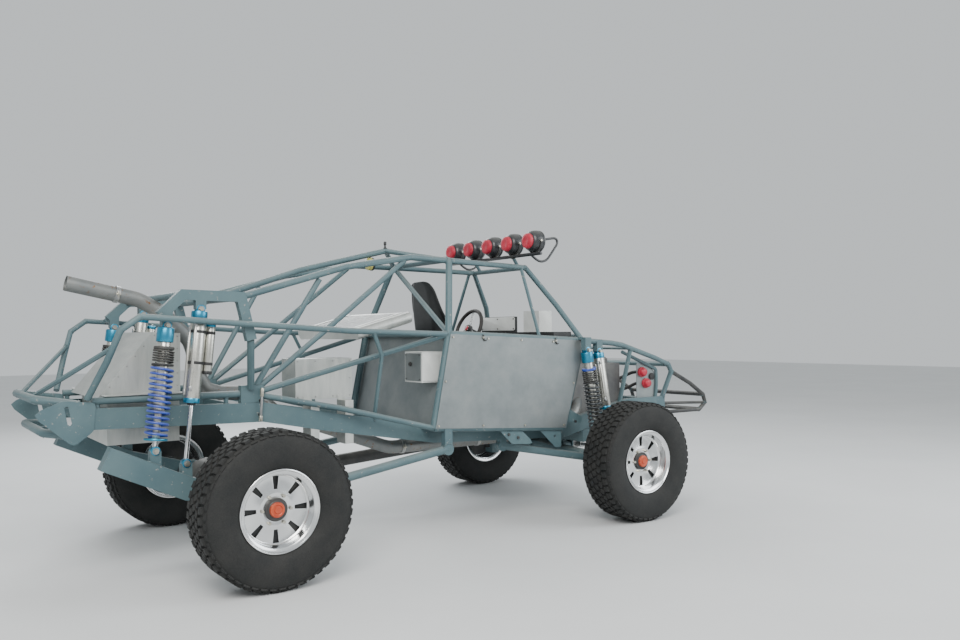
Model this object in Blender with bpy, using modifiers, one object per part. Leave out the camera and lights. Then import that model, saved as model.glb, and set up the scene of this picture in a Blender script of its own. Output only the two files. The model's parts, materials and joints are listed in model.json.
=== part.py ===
"""Desert dune buggy: a bare tube chassis on box rails, with long-travel suspension and no bodywork.

X runs forward, Y to the left and Z up, in metres. The driving sizes are measured from the rear axle,
and one empty shifts the whole vehicle so that its origin is the middle of its box, on the ground.
"""
import math

import bmesh
import bpy
from mathutils import Matrix, Vector

# Driving sizes of the whole vehicle
WHEELBASE = 2.89
HALF_TRACK = 1.03
ROOF_HEIGHT = 1.96
GAP = 0.0003
OVERRUN = 0.02

# Wheels and tyres
TYRE_RADIUS = 0.4445
TYRE_WIDTH = 0.300
TYRE_WALL = 0.026
RIM_RADIUS = 0.234
RIM_WIDTH = 0.250
RIM_WALL = 0.009
RIM_FLANGE = 0.012
RIM_SEAT_RADIUS = 0.210
TYRE_BEAD_SHARE = 0.94
TYRE_EDGE_SHARE = 0.98
RIM_FACE_RECESS = 0.080
RIM_FACE_THICKNESS = 0.014
RIM_SLOTS = 8
RIM_SLOT_WIDTH = 0.034
HUB_CLEARANCE = 0.001

# Tubes, by diameter
MAIN_TUBE = 0.050
SIDE_TUBE = 0.044
BRACE_TUBE = 0.038
SMALL_TUBE = 0.028

# Box rails
RAIL_HEIGHT = 0.120
RAIL_WIDTH = 0.050
CROSS_HEIGHT = 0.080
CROSS_LENGTH = 0.080
CROSS_INSET = 0.010
POST_SHARES = (0.03, 0.88)
KNEE_LENGTH = 0.145

# Sheet metal
PANEL_THICKNESS = 0.004
SHEET_THICKNESS = 0.005
FLOOR_THICKNESS = 0.006
SEAT_PLATE_THICKNESS = 0.004
SEAT_PLATE_START_SHARE = 0.34
SEAT_PLATE_LENGTH = 0.400
SEAT_PLATE_WIDTH = 0.360

# Places on the frame, as shares of the wheelbase, the half track and the roof height
FRAME_SHARES = {
    "rail_tail": (-0.289, 0.437, 0.486),
    "rail_axle": (0.008, 0.437, 0.477),
    "rail_peak": (0.057, 0.437, 0.476),
    "rail_drop": (0.218, 0.437, 0.428),
    "rail_low": (0.499, 0.437, 0.356),
    "rail_front": (0.917, 0.437, 0.330),
    "rail_nose": (1.165, 0.437, 0.405),
    "rail_tip": (1.322, 0.437, 0.405),
    "upper_tail": (-0.285, 0.437, 0.537),
    "upper_axle": (0.014, 0.437, 0.536),
    "knee": (0.033, 0.437, 0.535),
    "tower_rear": (-0.175, 0.621, 0.780),
    "tower_rear_top": (-0.132, 0.621, 0.842),
    "tower_front_top": (-0.014, 0.621, 0.838),
    "tower_front_mid": (0.008, 0.621, 0.707),
    "tower_foot": (0.028, 0.470, 0.555),
    "hoop_top": (0.557, 0.398, 1.000),
    "hoop_joint": (0.557, 0.386, 0.995),
    "hoop_belt": (0.507, 0.597, 0.720),
    "hoop_foot": (0.462, 0.597, 0.388),
    "rear_top_mid": (0.250, 0.485, 0.950),
    "rear_top_fore": (0.438, 0.425, 0.998),
    "upright_top": (0.182, 0.510, 0.905),
    "strut_mid": (0.232, 0.440, 0.764),
    "strut_top": (0.420, 0.428, 0.985),
    "belt_tail": (-0.296, 0.470, 0.545),
    "belt_tail_mid": (-0.272, 0.620, 0.651),
    "belt_bend": (-0.253, 0.690, 0.739),
    "belt_rear": (-0.219, 0.705, 0.776),
    "belt_mid": (0.234, 0.650, 0.733),
    "post_top": (0.293, 0.640, 0.730),
    "post_bend": (0.318, 0.620, 0.650),
    "post_foot": (0.330, 0.440, 0.410),
    "roof_front": (0.820, 0.340, 0.985),
    "pillar_mid": (0.894, 0.456, 0.834),
    "pillar_foot": (0.944, 0.597, 0.690),
    "brace_foot": (0.794, 0.597, 0.700),
    "sill_front": (0.872, 0.597, 0.349),
    "hood_rear": (1.063, 0.573, 0.677),
    "hood_bend": (1.114, 0.544, 0.668),
    "hood_mid": (1.265, 0.505, 0.608),
    "hood_front": (1.329, 0.485, 0.578),
    "nose_upper": (1.342, 0.485, 0.545),
    "nose_lower": (1.315, 0.437, 0.420),
    "nose_post_foot": (1.135, 0.437, 0.400),
    "bumper_slope": (1.447, 0.437, 0.485),
    "bumper_tip_top": (1.507, 0.437, 0.430),
    "bumper_tip": (1.517, 0.437, 0.392),
    "bumper_tip_low": (1.488, 0.437, 0.362),
    "bumper_foot": (1.315, 0.437, 0.362),
    "tail_corner": (-0.381, 0.340, 0.545),
    "tail_end": (-0.308, 0.441, 0.527),
    "tail_low_corner": (-0.365, 0.330, 0.449),
    "tail_low_end": (-0.312, 0.444, 0.440),
    "tail_brace_foot": (-0.378, 0.200, 0.548),
    "tower_link": (-0.175, 0.690, 0.776),
    "side_low_mid": (0.230, 0.500, 0.476),
    "spine_mid": (0.215, 0.000, 0.954),
    "spine_crest": (0.453, 0.000, 1.041),
    "gusset_fore_top": (-0.280, 0.437, 0.533),
    "gusset_rear_top": (-0.340, 0.437, 0.541),
    "gusset_rear": (-0.394, 0.437, 0.508),
    "gusset_low": (-0.320, 0.437, 0.411),
    "gusset_fore_low": (-0.284, 0.437, 0.452),
    "slot_high": (-0.333, 0.437, 0.525),
    "slot_low": (-0.326, 0.437, 0.472),
    "cell_tail_foot": (-0.272, 0.369, 0.540),
    "cell_tail_top": (-0.167, 0.369, 0.734),
    "cell_fore_top": (-0.110, 0.369, 0.730),
    "cell_fore_foot": (-0.110, 0.369, 0.524),
    "cell_tank_low": (-0.242, 0.350, 0.400),
    "radiator_low": (0.285, 0.420, 0.722),
    "radiator_high": (0.430, 0.420, 0.782),
    "battery_low": (0.150, 0.340, 0.503),
    "battery_high": (0.292, 0.120, 0.640),
}

# The exhaust's line from the engine to the tail, as shares of the same three sizes
EXHAUST_SHARES = (
    (1.035, 0.240, 0.430),
    (1.000, 0.330, 0.390),
    (0.940, 0.310, 0.320),
    (0.700, 0.290, 0.312),
    (0.400, 0.290, 0.312),
    (0.240, 0.210, 0.400),
    (0.125, 0.195, 0.459),
    (0.069, 0.195, 0.529),
    (-0.045, 0.195, 0.538),
    (-0.069, 0.195, 0.704),
    (-0.130, 0.195, 0.795),
    (-0.180, 0.195, 0.836),
    (-0.318, 0.195, 0.880),
)

# Plates welded to the side frames, as shares of the wheelbase and the roof height
TAB_SHARES = {
    "sill_tab": ((0.651, 0.369), (0.722, 0.362), (0.774, 0.295), (0.699, 0.304)),
    "step_tab": ((0.778, 0.363), (0.864, 0.359), (0.864, 0.272), (0.843, 0.275)),
    "post_tab": ((0.872, 0.437), (0.940, 0.383), (0.936, 0.359), (0.879, 0.373)),
}
TAB_HOLE_SHARES = (0.842, 0.318)

# Rear suspension, as shares of the wheelbase, the half track and the roof height
REAR_SHARES = {
    "arm_pivot": (0.500, 0.597, 0.310),
    "arm_knee": (0.217, 0.621, 0.250),
    "arm_fore": (0.034, 0.660, 0.227),
    "arm_axle": (0.000, 0.660, 0.227),
    "arm_heel": (-0.128, 0.660, 0.280),
    "arm_tail": (-0.280, 0.660, 0.385),
    "coil_top": (-0.163, 0.621, 0.752),
    "coil_foot": (-0.189, 0.660, 0.395),
    "bypass_top": (-0.097, 0.621, 0.800),
    "bypass_foot": (-0.130, 0.660, 0.352),
}

# Front suspension, as shares of the wheelbase, the half track and the roof height
FRONT_SHARES = {
    "coil_top": (0.931, 0.680, 0.652),
    "coil_foot": (0.978, 0.680, 0.262),
    "bypass_top": (1.005, 0.585, 0.645),
    "bypass_foot": (1.018, 0.680, 0.262),
}

# Knuckles and steering
KINGPIN_INSET = 0.160
KINGPIN_Y = HALF_TRACK - KINGPIN_INSET
LOWER_BALL_Z = 0.330
UPPER_BALL_Z = 0.580
BALL_RADIUS = 0.030
KNUCKLE_RADIUS = 0.045
SPINDLE_RADIUS = 0.040
STEER_ARM_LENGTH = 0.190
STEER_ARM_DROP = 0.030
STEER_ARM_SIZE = 0.036
RACK_RADIUS = 0.030
RACK_ROD_RADIUS = 0.014
TIE_EYE_RADIUS = 0.024
TIE_EYE_HEIGHT = 0.030
EYE_CLEARANCE = 0.006

# Shocks and springs
COIL_RADIUS = 0.066
COIL_LENGTH_SHARE = 0.72
SHOCK_CAP_RADIUS = 0.048
SHOCK_CAP_LENGTH = 0.070
COIL_BODY_RADIUS = 0.034
BYPASS_RADIUS = 0.046
BYPASS_LENGTH_SHARE = 0.60
BYPASS_PIPE_RADIUS = 0.011
SHOCK_ROD_RADIUS = 0.013
SHOCK_EYE_RADIUS = 0.026
SHOCK_EYE_WIDTH = 0.050
SPRING_WIRE = 0.014
SPRING_TURNS = 7
SPRING_TURN_STEPS = 7
SPRING_SEAT_THICKNESS = 0.016
RESERVOIR_RADIUS = 0.028
RESERVOIR_LENGTH = 0.300
RESERVOIR_DROP = 0.060
CLAMP_SHARES = (0.20, 0.80)
CLAMP_RADIUS = 0.014
ARM_BOX_HEIGHT = 0.130
ARM_BOX_WIDTH = 0.090

# Rear axle and drive
AXLE_TUBE_RADIUS = 0.044
DIFFERENTIAL_RADIUS = 0.155
DIFFERENTIAL_WIDTH = 0.260
PINION_RADIUS = 0.060
PINION_LENGTH = 0.300
SHAFT_RADIUS = 0.045
GEARBOX_LENGTH = 0.620
GEARBOX_TAIL_RADIUS = 0.060
ENGINE_LENGTH = 0.620
ENGINE_WIDTH = 0.560
ENGINE_HEIGHT = 0.520
ENGINE_REAR_SHARE = 0.985
EXHAUST_RADIUS = 0.048
EXHAUST_WALL = 0.004

# Cab fittings
SEAT_Y = 0.270
SEAT_WIDTH = 0.460
SEAT_DEPTH = 0.440
SEAT_BACK_HEIGHT = 1.000
SEAT_ROUND = 0.060
SEAT_SHELL = 0.050
SEAT_BOLSTER = 0.110
SEAT_X_SHARE = 0.609
DASH_DEPTH = 0.180
DASH_HEIGHT = 0.120
STEERING_WHEEL_RADIUS = 0.165
STEERING_WHEEL_TUBE = 0.016
STEERING_WHEEL_TILT = math.radians(22.0)
COLUMN_RADIUS = 0.016
COLUMN_LENGTH = 0.220
COLUMN_GAP = 0.0006

# Lamps
LAMP_RADIUS = 0.085
LAMP_DEPTH = 0.100
LAMP_COUNT = 5
LAMP_PITCH = 0.265
LOOP_Y = 0.490
LAMP_BAR_LIFT = 0.092

# Cage and frame details
HOOP_BEND = 0.060
DIAGONAL_SHARE = 0.012
STAY_SHARE = 0.45
NOSE_POST_SHARE = 0.25
BRACE_SHARE = 0.06
COWL_SHARE = 0.12
NOSE_START = 0.004
KNEE_RISE = 0.055
KNEE_SETBACK = 0.070
TOWER_DEPTH = 0.060
TOWER_WIDTH = 0.050
GUSSET_THICKNESS = 0.006
GUSSET_ROUND = 0.035
TAB_THICKNESS = 0.006
TAB_ROUND = 0.020
TAB_HOLE_RADIUS = 0.012
SLOT_WIDTH = 0.022
FLOOR_LENGTH = 1.130
BRACKET_LENGTH = 0.060
BRACKET_SHARES = (0.2, 0.8)

# Tyre, wheel and hub details
TYRE_SHOULDER_SHARE = 0.955
TYRE_TREAD_SHARE = 0.86
HUB_RADIUS = 0.058
HUB_LENGTH = 0.110
HUB_CAP_RISE = 0.035
RIM_SLOT_LENGTH = 0.085
BEARING_GAP = 0.006

# Arms, axles and mounts
ARM_TUBE = 0.060
ARM_EYE_RADIUS = 0.042
SADDLE_HEIGHT = 0.090
SADDLE_LENGTH = 0.060
STRAP_THICKNESS = 0.018
PINION_RISE = 0.020
PINION_ROOT_SHARE = 0.75
ROD_ROOT_SHARE = 0.45
SEAT_OFFSET = 0.030
PIPE_SPREAD = 55.0
PIPE_MARGIN = 0.030
PIPE_SIDES = 8
CROSSMEMBER_X = WHEELBASE + 0.035
FRONT_BEAM_LENGTH = 0.140
FRONT_BEAM_HEIGHT = 0.070
FRONT_BEAM_TOP = 0.600
RISER_HEIGHT = 0.100
MOUNT_SIZE = 0.080
MOUNT_Y = 0.200
ENGINE_BASE = 0.630
BEAM_OFFSET = 0.050
BEAM_PIVOT_Y = 0.160
BEAM_PIVOT_Z = 0.470
BEAM_EYE_RADIUS = 0.036
BEAM_EAR_WIDTH = 0.080
BEAM_WIDTH = 0.110
BEAM_PIN_RADIUS = 0.030
EAR_THICKNESS = 0.012
BEAM_ELBOW_Y = 0.500
BEAM_ELBOW_Z = 0.440
BEAM_TUBE = 0.080
YOKE_SETBACK = 0.085
YOKE_LENGTH = 0.070
YOKE_WIDTH = 0.040
BALL_HEIGHT = 0.040
PAD_HEIGHT = 0.030
RADIUS_PIVOT_SHARE = 0.50
RADIUS_DROP = 0.046
STEER_ARM_INSET = 0.040
RACK_Z = 0.470
RACK_HALF_LENGTH = 0.220
RACK_BRACKET_WIDTH = 0.050
RACK_BRACKET_Y = 0.150
ROD_CLEARANCE = 0.001
TIE_START_Y = 0.350

# Engine, drive and exhaust details
GEARBOX_FRONT_Z = 0.665
GEARBOX_TAIL_Z = 0.600
GEARBOX_RADIUS = 0.070
GEARBOX_BELL_RADIUS = 0.115
GEARBOX_BELL_END_RADIUS = 0.090
GEARBOX_BELL_LENGTH = 0.150
GEARBOX_FLANGE_RADIUS = 0.050
GEARBOX_TAIL_LENGTH = 0.120
EXHAUST_BEND = 0.200
EXHAUST_BORE_DEPTH = 0.200

# Boxes and radiator
CELL_SETBACK = 0.020
RADIATOR_DEPTH = 0.070
RADIATOR_TANK = 0.080
RADIATOR_BAR_SHARE = 0.40
ELECTRICS_LOW_SHARE = 0.48
ELECTRICS_Y = HALF_TRACK * 0.408
ELECTRICS_LENGTH = 0.130
ELECTRICS_WIDTH = 0.230
ELECTRICS_HEIGHT = 0.215

# Seat, dash and steering wheel details
SEAT_BASE_HEIGHT = 0.080
SEAT_LEAN = math.radians(7.0)
WING_INSET = 0.004
WING_TOP_SHARE = 0.66
WING_MID_SHARE = 0.56
SEAT_BACK_SHARES = ((0.94, 0.0), (1.0, 0.45), (1.0, 0.66), (0.80, 0.84), (0.66, 0.96), (0.34, 1.0))
SEAT_RISE = 0.050
SEAT_FOOT_SHARE = 0.60
SEAT_FOOT_DROP = 0.040
DASH_SETBACK = 0.050
DASH_LIFT = 0.010
DASH_PANEL_DEPTH = 0.020
DASH_PANEL_WIDTH = 0.480
DASH_PANEL_HEIGHT = 0.130
DASH_PANEL_Y = 0.200
SWITCH_DEPTH = 0.130
SWITCH_WIDTH = 0.200
SWITCH_HEIGHT = 0.170
SWITCH_Y = 0.260
WHEEL_HUB_LENGTH = 0.040
WHEEL_HUB_RADIUS = 0.034
WHEEL_SPOKES = 3
WHEEL_RING_STEPS = 16
WHEEL_TUBE_STEPS = 6

# Lamp details
LAMP_BAR_AHEAD = -0.055
LAMP_STEM = 0.012
LAMP_STEM_RADIUS = 0.012
LAMP_SHARES = (
    (0.0, -0.84), (0.64, -0.84), (0.70, -0.50), (0.84, -0.44), (0.98, -0.05), (1.0, 0.44), (0.0, 0.54),
)
LOOP_POINTS = (
    (0.0, 0.0), (0.094, -0.050), (0.175, -0.020), (0.268, 0.098), (0.250, 0.138), (0.136, 0.122), (0.0, 0.090),
)
LAMP_FOOT_SHARE = 0.75
LOOP_SHARE = 0.75
TAIL_LAMP_SHARE = 0.78
TAIL_LAMP_RADIUS = 0.048
TAIL_LAMP_DEPTH = 0.050
TAIL_LAMP_STEM = 0.010

TUBE_BEVEL_STEPS = 2
SMALL_BEVEL_STEPS = 1
WIRE_BEVEL_STEPS = 0
SHAFT_SIDES = 12
WHEEL_STEPS = 20

RIGHT = -1
LEFT = 1
SIDE_NAMES = {RIGHT: "right", LEFT: "left"}

# Materials: name, colour, roughness, metallic
MATERIALS = {
    "frame_paint": ((0.105, 0.165, 0.185), 0.55, 0.0),
    "aluminium_sheet": ((0.42, 0.45, 0.45), 0.45, 0.9),
    "pale_aluminium": ((0.62, 0.64, 0.62), 0.40, 0.9),
    "spring_blue": ((0.035, 0.075, 0.42), 0.40, 0.1),
    "shock_steel": ((0.40, 0.42, 0.42), 0.35, 0.9),
    "engine_grey": ((0.16, 0.16, 0.16), 0.60, 0.5),
    "dark_steel": ((0.07, 0.07, 0.075), 0.60, 0.6),
    "exhaust_steel": ((0.36, 0.34, 0.31), 0.50, 0.8),
    "seat_black": ((0.015, 0.015, 0.016), 0.85, 0.0),
    "plastic_black": ((0.02, 0.02, 0.02), 0.60, 0.0),
    "box_white": ((0.70, 0.72, 0.70), 0.50, 0.0),
    "rubber_black": ((0.018, 0.018, 0.018), 0.85, 0.0),
    "wheel_polished": ((0.72, 0.73, 0.74), 0.22, 1.0),
    "lamp_black": ((0.02, 0.02, 0.022), 0.45, 0.0),
}


def clear_scene():
    for thing in list(bpy.data.objects):
        bpy.data.objects.remove(thing, do_unlink=True)


clear_scene()
parts = bpy.data.collections.new("dune_buggy")
cutters = bpy.data.collections.new("cutters")
bpy.context.scene.collection.children.link(parts)
bpy.context.scene.collection.children.link(cutters)
materials = {}


def material(name):
    """The named Principled material, made once."""
    if name not in materials:
        colour, roughness, metallic = MATERIALS[name]
        made = bpy.data.materials.new(name)
        made.use_nodes = True
        shader = made.node_tree.nodes["Principled BSDF"]
        shader.inputs["Base Color"].default_value = (*colour, 1.0)
        shader.inputs["Roughness"].default_value = roughness
        shader.inputs["Metallic"].default_value = metallic
        made.diffuse_color = (*colour, 1.0)
        materials[name] = made
    return materials[name]


def place(shares, name, side=LEFT):
    """A named point, from its shares of the wheelbase, the half track and the roof height."""
    along, across, up = shares[name]
    return Vector((along * WHEELBASE, side * across * HALF_TRACK, up * ROOF_HEIGHT))


def spot(name, side=LEFT):
    return place(FRAME_SHARES, name, side)


def helper(name, mesh):
    """A hidden working object, kept with the cutters."""
    thing = bpy.data.objects.new(name, mesh)
    thing.hide_render = True
    thing.display_type = "WIRE"
    cutters.objects.link(thing)
    return thing


def solid_from_curve(curve_object):
    """The closed mesh of a curve object, which is removed."""
    depsgraph = bpy.context.evaluated_depsgraph_get()
    mesh = bpy.data.meshes.new_from_object(curve_object.evaluated_get(depsgraph))
    work = bmesh.new()
    work.from_mesh(mesh)
    bmesh.ops.remove_doubles(work, verts=work.verts, dist=GAP / 10)
    bmesh.ops.recalc_face_normals(work, faces=work.faces)
    work.to_mesh(mesh)
    work.free()
    made = helper(curve_object.name + "_solid", mesh)
    made.matrix_world = curve_object.matrix_world
    bpy.data.objects.remove(curve_object, do_unlink=True)
    return made


def bend(points, radius, steps=2):
    """The points of a line with each inner corner turned into an arc."""
    line = [points[0]]
    for before, corner, after in zip(points, points[1:], points[2:]):
        into = (before - corner).normalized()
        out = (after - corner).normalized()
        turn = math.pi - into.angle(out)
        reach = min(radius * math.tan(turn / 2), (before - corner).length / 3, (after - corner).length / 3)
        start = corner + into * reach
        end = corner + out * reach
        for step in range(steps + 1):
            share = step / steps
            line.append(start.lerp(corner, share).lerp(corner.lerp(end, share), share))
    line.append(points[-1])
    return line


def tube(points, diameter, corner_radius=0.0, extra=0.0):
    """A round tube along a line, with filled ends, grown by an extra amount when it is a cutter."""
    line = bend(points, corner_radius) if corner_radius else list(points)
    line[0] = line[0] + (line[0] - line[1]).normalized() * extra
    line[-1] = line[-1] + (line[-1] - line[-2]).normalized() * extra
    curve = bpy.data.curves.new("tube", "CURVE")
    curve.dimensions = "3D"
    curve.bevel_depth = diameter / 2 + extra
    curve.bevel_resolution = TUBE_BEVEL_STEPS if diameter > SMALL_TUBE else SMALL_BEVEL_STEPS
    if diameter <= SPRING_WIRE:
        curve.bevel_resolution = WIRE_BEVEL_STEPS
    curve.use_fill_caps = True
    spline = curve.splines.new("POLY")
    spline.points.add(len(line) - 1)
    for point, position in zip(spline.points, line):
        point.co = (*position, 1.0)
    made = bpy.data.objects.new("tube", curve)
    cutters.objects.link(made)
    return solid_from_curve(made)


def outlined(outline, thickness, matrix):
    """A flat solid of a given outline and thickness, placed by a matrix."""
    curve = bpy.data.curves.new("plate", "CURVE")
    curve.dimensions = "2D"
    curve.fill_mode = "BOTH"
    curve.extrude = thickness / 2
    spline = curve.splines.new("POLY")
    spline.points.add(len(outline) - 1)
    for point, (along, up) in zip(spline.points, outline):
        point.co = (along, up, 0.0, 1.0)
    spline.use_cyclic_u = True
    made = bpy.data.objects.new("plate", curve)
    made.matrix_world = matrix
    cutters.objects.link(made)
    bpy.context.view_layer.update()
    return solid_from_curve(made)


def plate(outline, middle_y, thickness):
    """A flat plate in the XZ plane, with its outline as (x, z) points."""
    upright = Matrix.Rotation(math.radians(90.0), 4, "X")
    return outlined(outline, thickness, Matrix.Translation((0.0, middle_y, 0.0)) @ upright)


def facing_plate(outline, foot, lean, thickness):
    """A flat plate that faces forward and leans back, with its outline as (y, height) points from its foot."""
    facing = Matrix(((0.0, 0.0, 1.0), (1.0, 0.0, 0.0), (0.0, 1.0, 0.0))).to_4x4()
    return outlined(outline, thickness, Matrix.Translation(foot) @ Matrix.Rotation(-lean, 4, "Y") @ facing)


def box(size, centre, turn=None):
    """A box of a given size about its centre."""
    mesh = bpy.data.meshes.new("box")
    work = bmesh.new()
    bmesh.ops.create_cube(work, size=1.0)
    bmesh.ops.scale(work, vec=size, verts=work.verts)
    work.to_mesh(mesh)
    work.free()
    made = helper("box", mesh)
    made.matrix_world = Matrix.Translation(centre) @ (turn or Matrix.Identity(4))
    return made


def rod(start, end, radius, end_radius=None, sides=SHAFT_SIDES):
    """A round bar, or a cone, from one point to another."""
    start = Vector(start)
    end = Vector(end)
    mesh = bpy.data.meshes.new("rod")
    work = bmesh.new()
    bmesh.ops.create_cone(
        work, cap_ends=True, segments=sides, radius1=radius,
        radius2=radius if end_radius is None else end_radius, depth=(end - start).length)
    work.to_mesh(mesh)
    work.free()
    made = helper("rod", mesh)
    turn = (end - start).to_track_quat("Z", "Y").to_matrix().to_4x4()
    made.matrix_world = Matrix.Translation((start + end) / 2) @ turn
    return made


def turned(name, profile, steps, closed):
    """A body turned about its own Z axis, from (radius, height) points; an open profile ends on the axis."""
    mesh = bpy.data.meshes.new(name)
    work = bmesh.new()
    corners = [work.verts.new((radius, 0.0, height)) for radius, height in profile]
    ends = corners[1:] + corners[:1] if closed else corners[1:]
    for first, second in zip(corners, ends):
        work.edges.new((first, second))
    work.to_mesh(mesh)
    work.free()
    made = helper(name, mesh)
    screw = made.modifiers.new("turn", "SCREW")
    screw.steps = steps
    screw.render_steps = steps
    screw.use_merge_vertices = True
    screw.merge_threshold = GAP / 10
    screw.use_smooth_shade = True
    return made


def joined(name, pieces, surface, cuts=(), origin=None):
    """One named sub-part: the pieces as one body, less the cuts, in its own material."""
    base = pieces[0]
    base.name = name
    base.data.name = name
    for piece in pieces[1:]:
        union = base.modifiers.new("join", "BOOLEAN")
        union.operation = "UNION"
        union.solver = "EXACT"
        union.object = piece
    for cut in cuts:
        difference = base.modifiers.new("cut", "BOOLEAN")
        difference.operation = "DIFFERENCE"
        difference.solver = "EXACT"
        difference.object = cut
    bpy.context.view_layer.update()
    depsgraph = bpy.context.evaluated_depsgraph_get()
    mesh = bpy.data.meshes.new_from_object(base.evaluated_get(depsgraph))
    mesh.transform(base.matrix_world)
    work = bmesh.new()
    work.from_mesh(mesh)
    bmesh.ops.remove_doubles(work, verts=work.verts, dist=GAP / 10)
    bmesh.ops.dissolve_degenerate(work, edges=work.edges, dist=GAP / 10)
    if origin is not None:
        bmesh.ops.translate(work, verts=work.verts, vec=-Vector(origin))
    work.to_mesh(mesh)
    work.free()
    mesh.materials.clear()
    mesh.materials.append(material(surface))
    mesh.shade_smooth()
    mesh.set_sharp_from_angle(angle=math.radians(35))
    for piece in [*pieces, *cuts]:
        bpy.data.objects.remove(piece, do_unlink=True)
    made = bpy.data.objects.new(name, mesh)
    if origin is not None:
        made.location = origin
    made.parent = vehicle
    parts.objects.link(made)
    return made


def offset_strip(line, height, extra=0.0):
    """The outline of a strip of a given height about a line of (x, z) points, grown for a cutter."""
    line = list(line)
    line[0] = line[0] + (line[0] - line[1]).normalized() * extra
    line[-1] = line[-1] + (line[-1] - line[-2]).normalized() * extra
    height = height + 2 * extra
    upper = []
    lower = []
    for index, point in enumerate(line):
        before = line[max(index - 1, 0)]
        after = line[min(index + 1, len(line) - 1)]
        into = (point - before).normalized() if index else (after - point).normalized()
        out = (after - point).normalized() if index < len(line) - 1 else into
        across = Vector((-(into + out).y, (into + out).x)).normalized()
        reach = height / 2 / across.dot(Vector((-out.y, out.x)))
        upper.append(point + across * reach)
        lower.append(point - across * reach)
    return upper + lower[::-1]


def flat(point):
    return Vector((point.x, point.z))


def rounded(outline, radius):
    """A closed outline with each corner turned into an arc."""
    middle = (outline[0] + outline[-1]) / 2
    return bend([middle, *outline, middle], radius)[:-1]


vehicle = bpy.data.objects.new("vehicle", None)
parts.objects.link(vehicle)


def named_tube(names, side, diameter, corner=0.0, extra=0.0):
    """A tube through named points of one side."""
    return tube([spot(name, side) for name in names], diameter, corner, extra)


def across_tube(name, diameter, extra=0.0):
    """A straight tube from the right to the left point of one name."""
    return tube([spot(name, RIGHT), spot(name, LEFT)], diameter, 0.0, extra)


def both(pieces_of, extra=GAP):
    """The grown pieces of both sides, as cutters."""
    return [piece for side in SIDE_NAMES for piece in pieces_of(side, extra)]


def flat_line(names):
    return [flat(spot(name)) for name in names]


# Eyes and brackets

def rear_share(name, side=LEFT):
    return place(REAR_SHARES, name, side)


def front_share(name, side=LEFT):
    return place(FRONT_SHARES, name, side)


def eye(centre, extra=0.0):
    """A shock's eye: a short cylinder across the vehicle."""
    reach = Vector((0.0, SHOCK_EYE_WIDTH / 2 + extra, 0.0))
    return rod(centre - reach, centre + reach, SHOCK_EYE_RADIUS + extra)


def saddle(centre, below, extra=0.0):
    """The mount that an eye sits in, on the side away from its shock."""
    drop = Vector((0.0, 0.0, -below * SADDLE_HEIGHT / 2))
    return box((SADDLE_LENGTH + 2 * extra, SHOCK_EYE_WIDTH + 2 * extra, SADDLE_HEIGHT + 2 * extra), centre + drop)


def arm_eye(pivot, extra=0.0):
    """The eye at the end of an arm: a short cylinder across the vehicle."""
    reach = Vector((0.0, SHOCK_EYE_WIDTH / 2 + extra, 0.0))
    return rod(pivot - reach, pivot + reach, ARM_EYE_RADIUS + extra)


def hanger(pivot, height):
    """The bracket that an arm's eye hangs in, up to the tube or rail above it."""
    return box((SADDLE_LENGTH, SHOCK_EYE_WIDTH, height), pivot + Vector((0.0, 0.0, height / 2)))


def radius_end(side):
    """The rear pivot of a radius arm, under the rail."""
    under = spot("rail_low", side).lerp(spot("rail_front", side), RADIUS_PIVOT_SHARE)
    return Vector((under.x, under.y, under.z - RAIL_HEIGHT / 2 - RADIUS_DROP))


# Box rails

RAIL_LINE = ["rail_tail", "rail_axle", "rail_peak", "rail_drop", "rail_low", "rail_front", "rail_nose",
             "rail_tip"]


def rail_pieces(side, extra=0.0):
    """The box rail, with the short tube that runs above it over the axle."""
    rail_y = spot("rail_tail", side).y
    beam = plate(offset_strip(flat_line(RAIL_LINE), RAIL_HEIGHT, extra), rail_y, RAIL_WIDTH + 2 * extra)
    tail = spot("upper_tail", side)
    axle = spot("upper_axle", side)
    pieces = [beam, tube([tail, axle], SIDE_TUBE, 0.0, extra)]
    for share in POST_SHARES:
        top = tail.lerp(axle, share)
        pieces.append(tube([top, top - Vector((0.0, 0.0, RAIL_HEIGHT / 2))], SMALL_TUBE, 0.0, extra))
    return pieces


def cross_beam(point, ahead, extra=0.0):
    """A square beam between the rails, just inside a named point."""
    centre = spot(point)
    middle = (centre.x + ahead * (CROSS_LENGTH / 2 + CROSS_INSET), 0.0, centre.z)
    return box((CROSS_LENGTH + 2 * extra, 2 * centre.y, CROSS_HEIGHT + 2 * extra), middle)


def build_ladder_frame():
    """Both rails, welded together by the beams at the tail, over the axle and at the nose."""
    pieces = [piece for side in SIDE_NAMES for piece in rail_pieces(side)]
    pieces += [cross_beam("rail_tail", 1), cross_beam("rail_peak", -1), cross_beam("rail_tip", -1)]
    cuts = []
    for side in SIDE_NAMES:
        pivot = radius_end(side)
        pieces.append(hanger(pivot, RADIUS_DROP + RAIL_HEIGHT / 2))
        cuts.append(arm_eye(pivot, GAP))
    joined("ladder_frame", pieces, "frame_paint", cuts)


# Cage

def hoop_tubes(extra=0.0):
    """The hoop behind the cab: one bent tube, with the harness bar and the foot bar across it."""
    names = ["hoop_foot", "hoop_belt", "hoop_top"]
    line = [spot(name, RIGHT) for name in names] + [spot(name, LEFT) for name in names[::-1]]
    pieces = [tube(line, MAIN_TUBE, HOOP_BEND, extra)]
    pieces.append(across_tube("hoop_belt", SIDE_TUBE, extra))
    pieces.append(across_tube("hoop_foot", SIDE_TUBE, extra))
    corner = spot("hoop_joint", LEFT)
    low_corner = spot("hoop_belt", RIGHT)
    pieces.append(tube([corner.lerp(low_corner, DIAGONAL_SHARE), low_corner.lerp(corner, DIAGONAL_SHARE)],
                       BRACE_TUBE, 0.0, extra))
    return pieces


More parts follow.
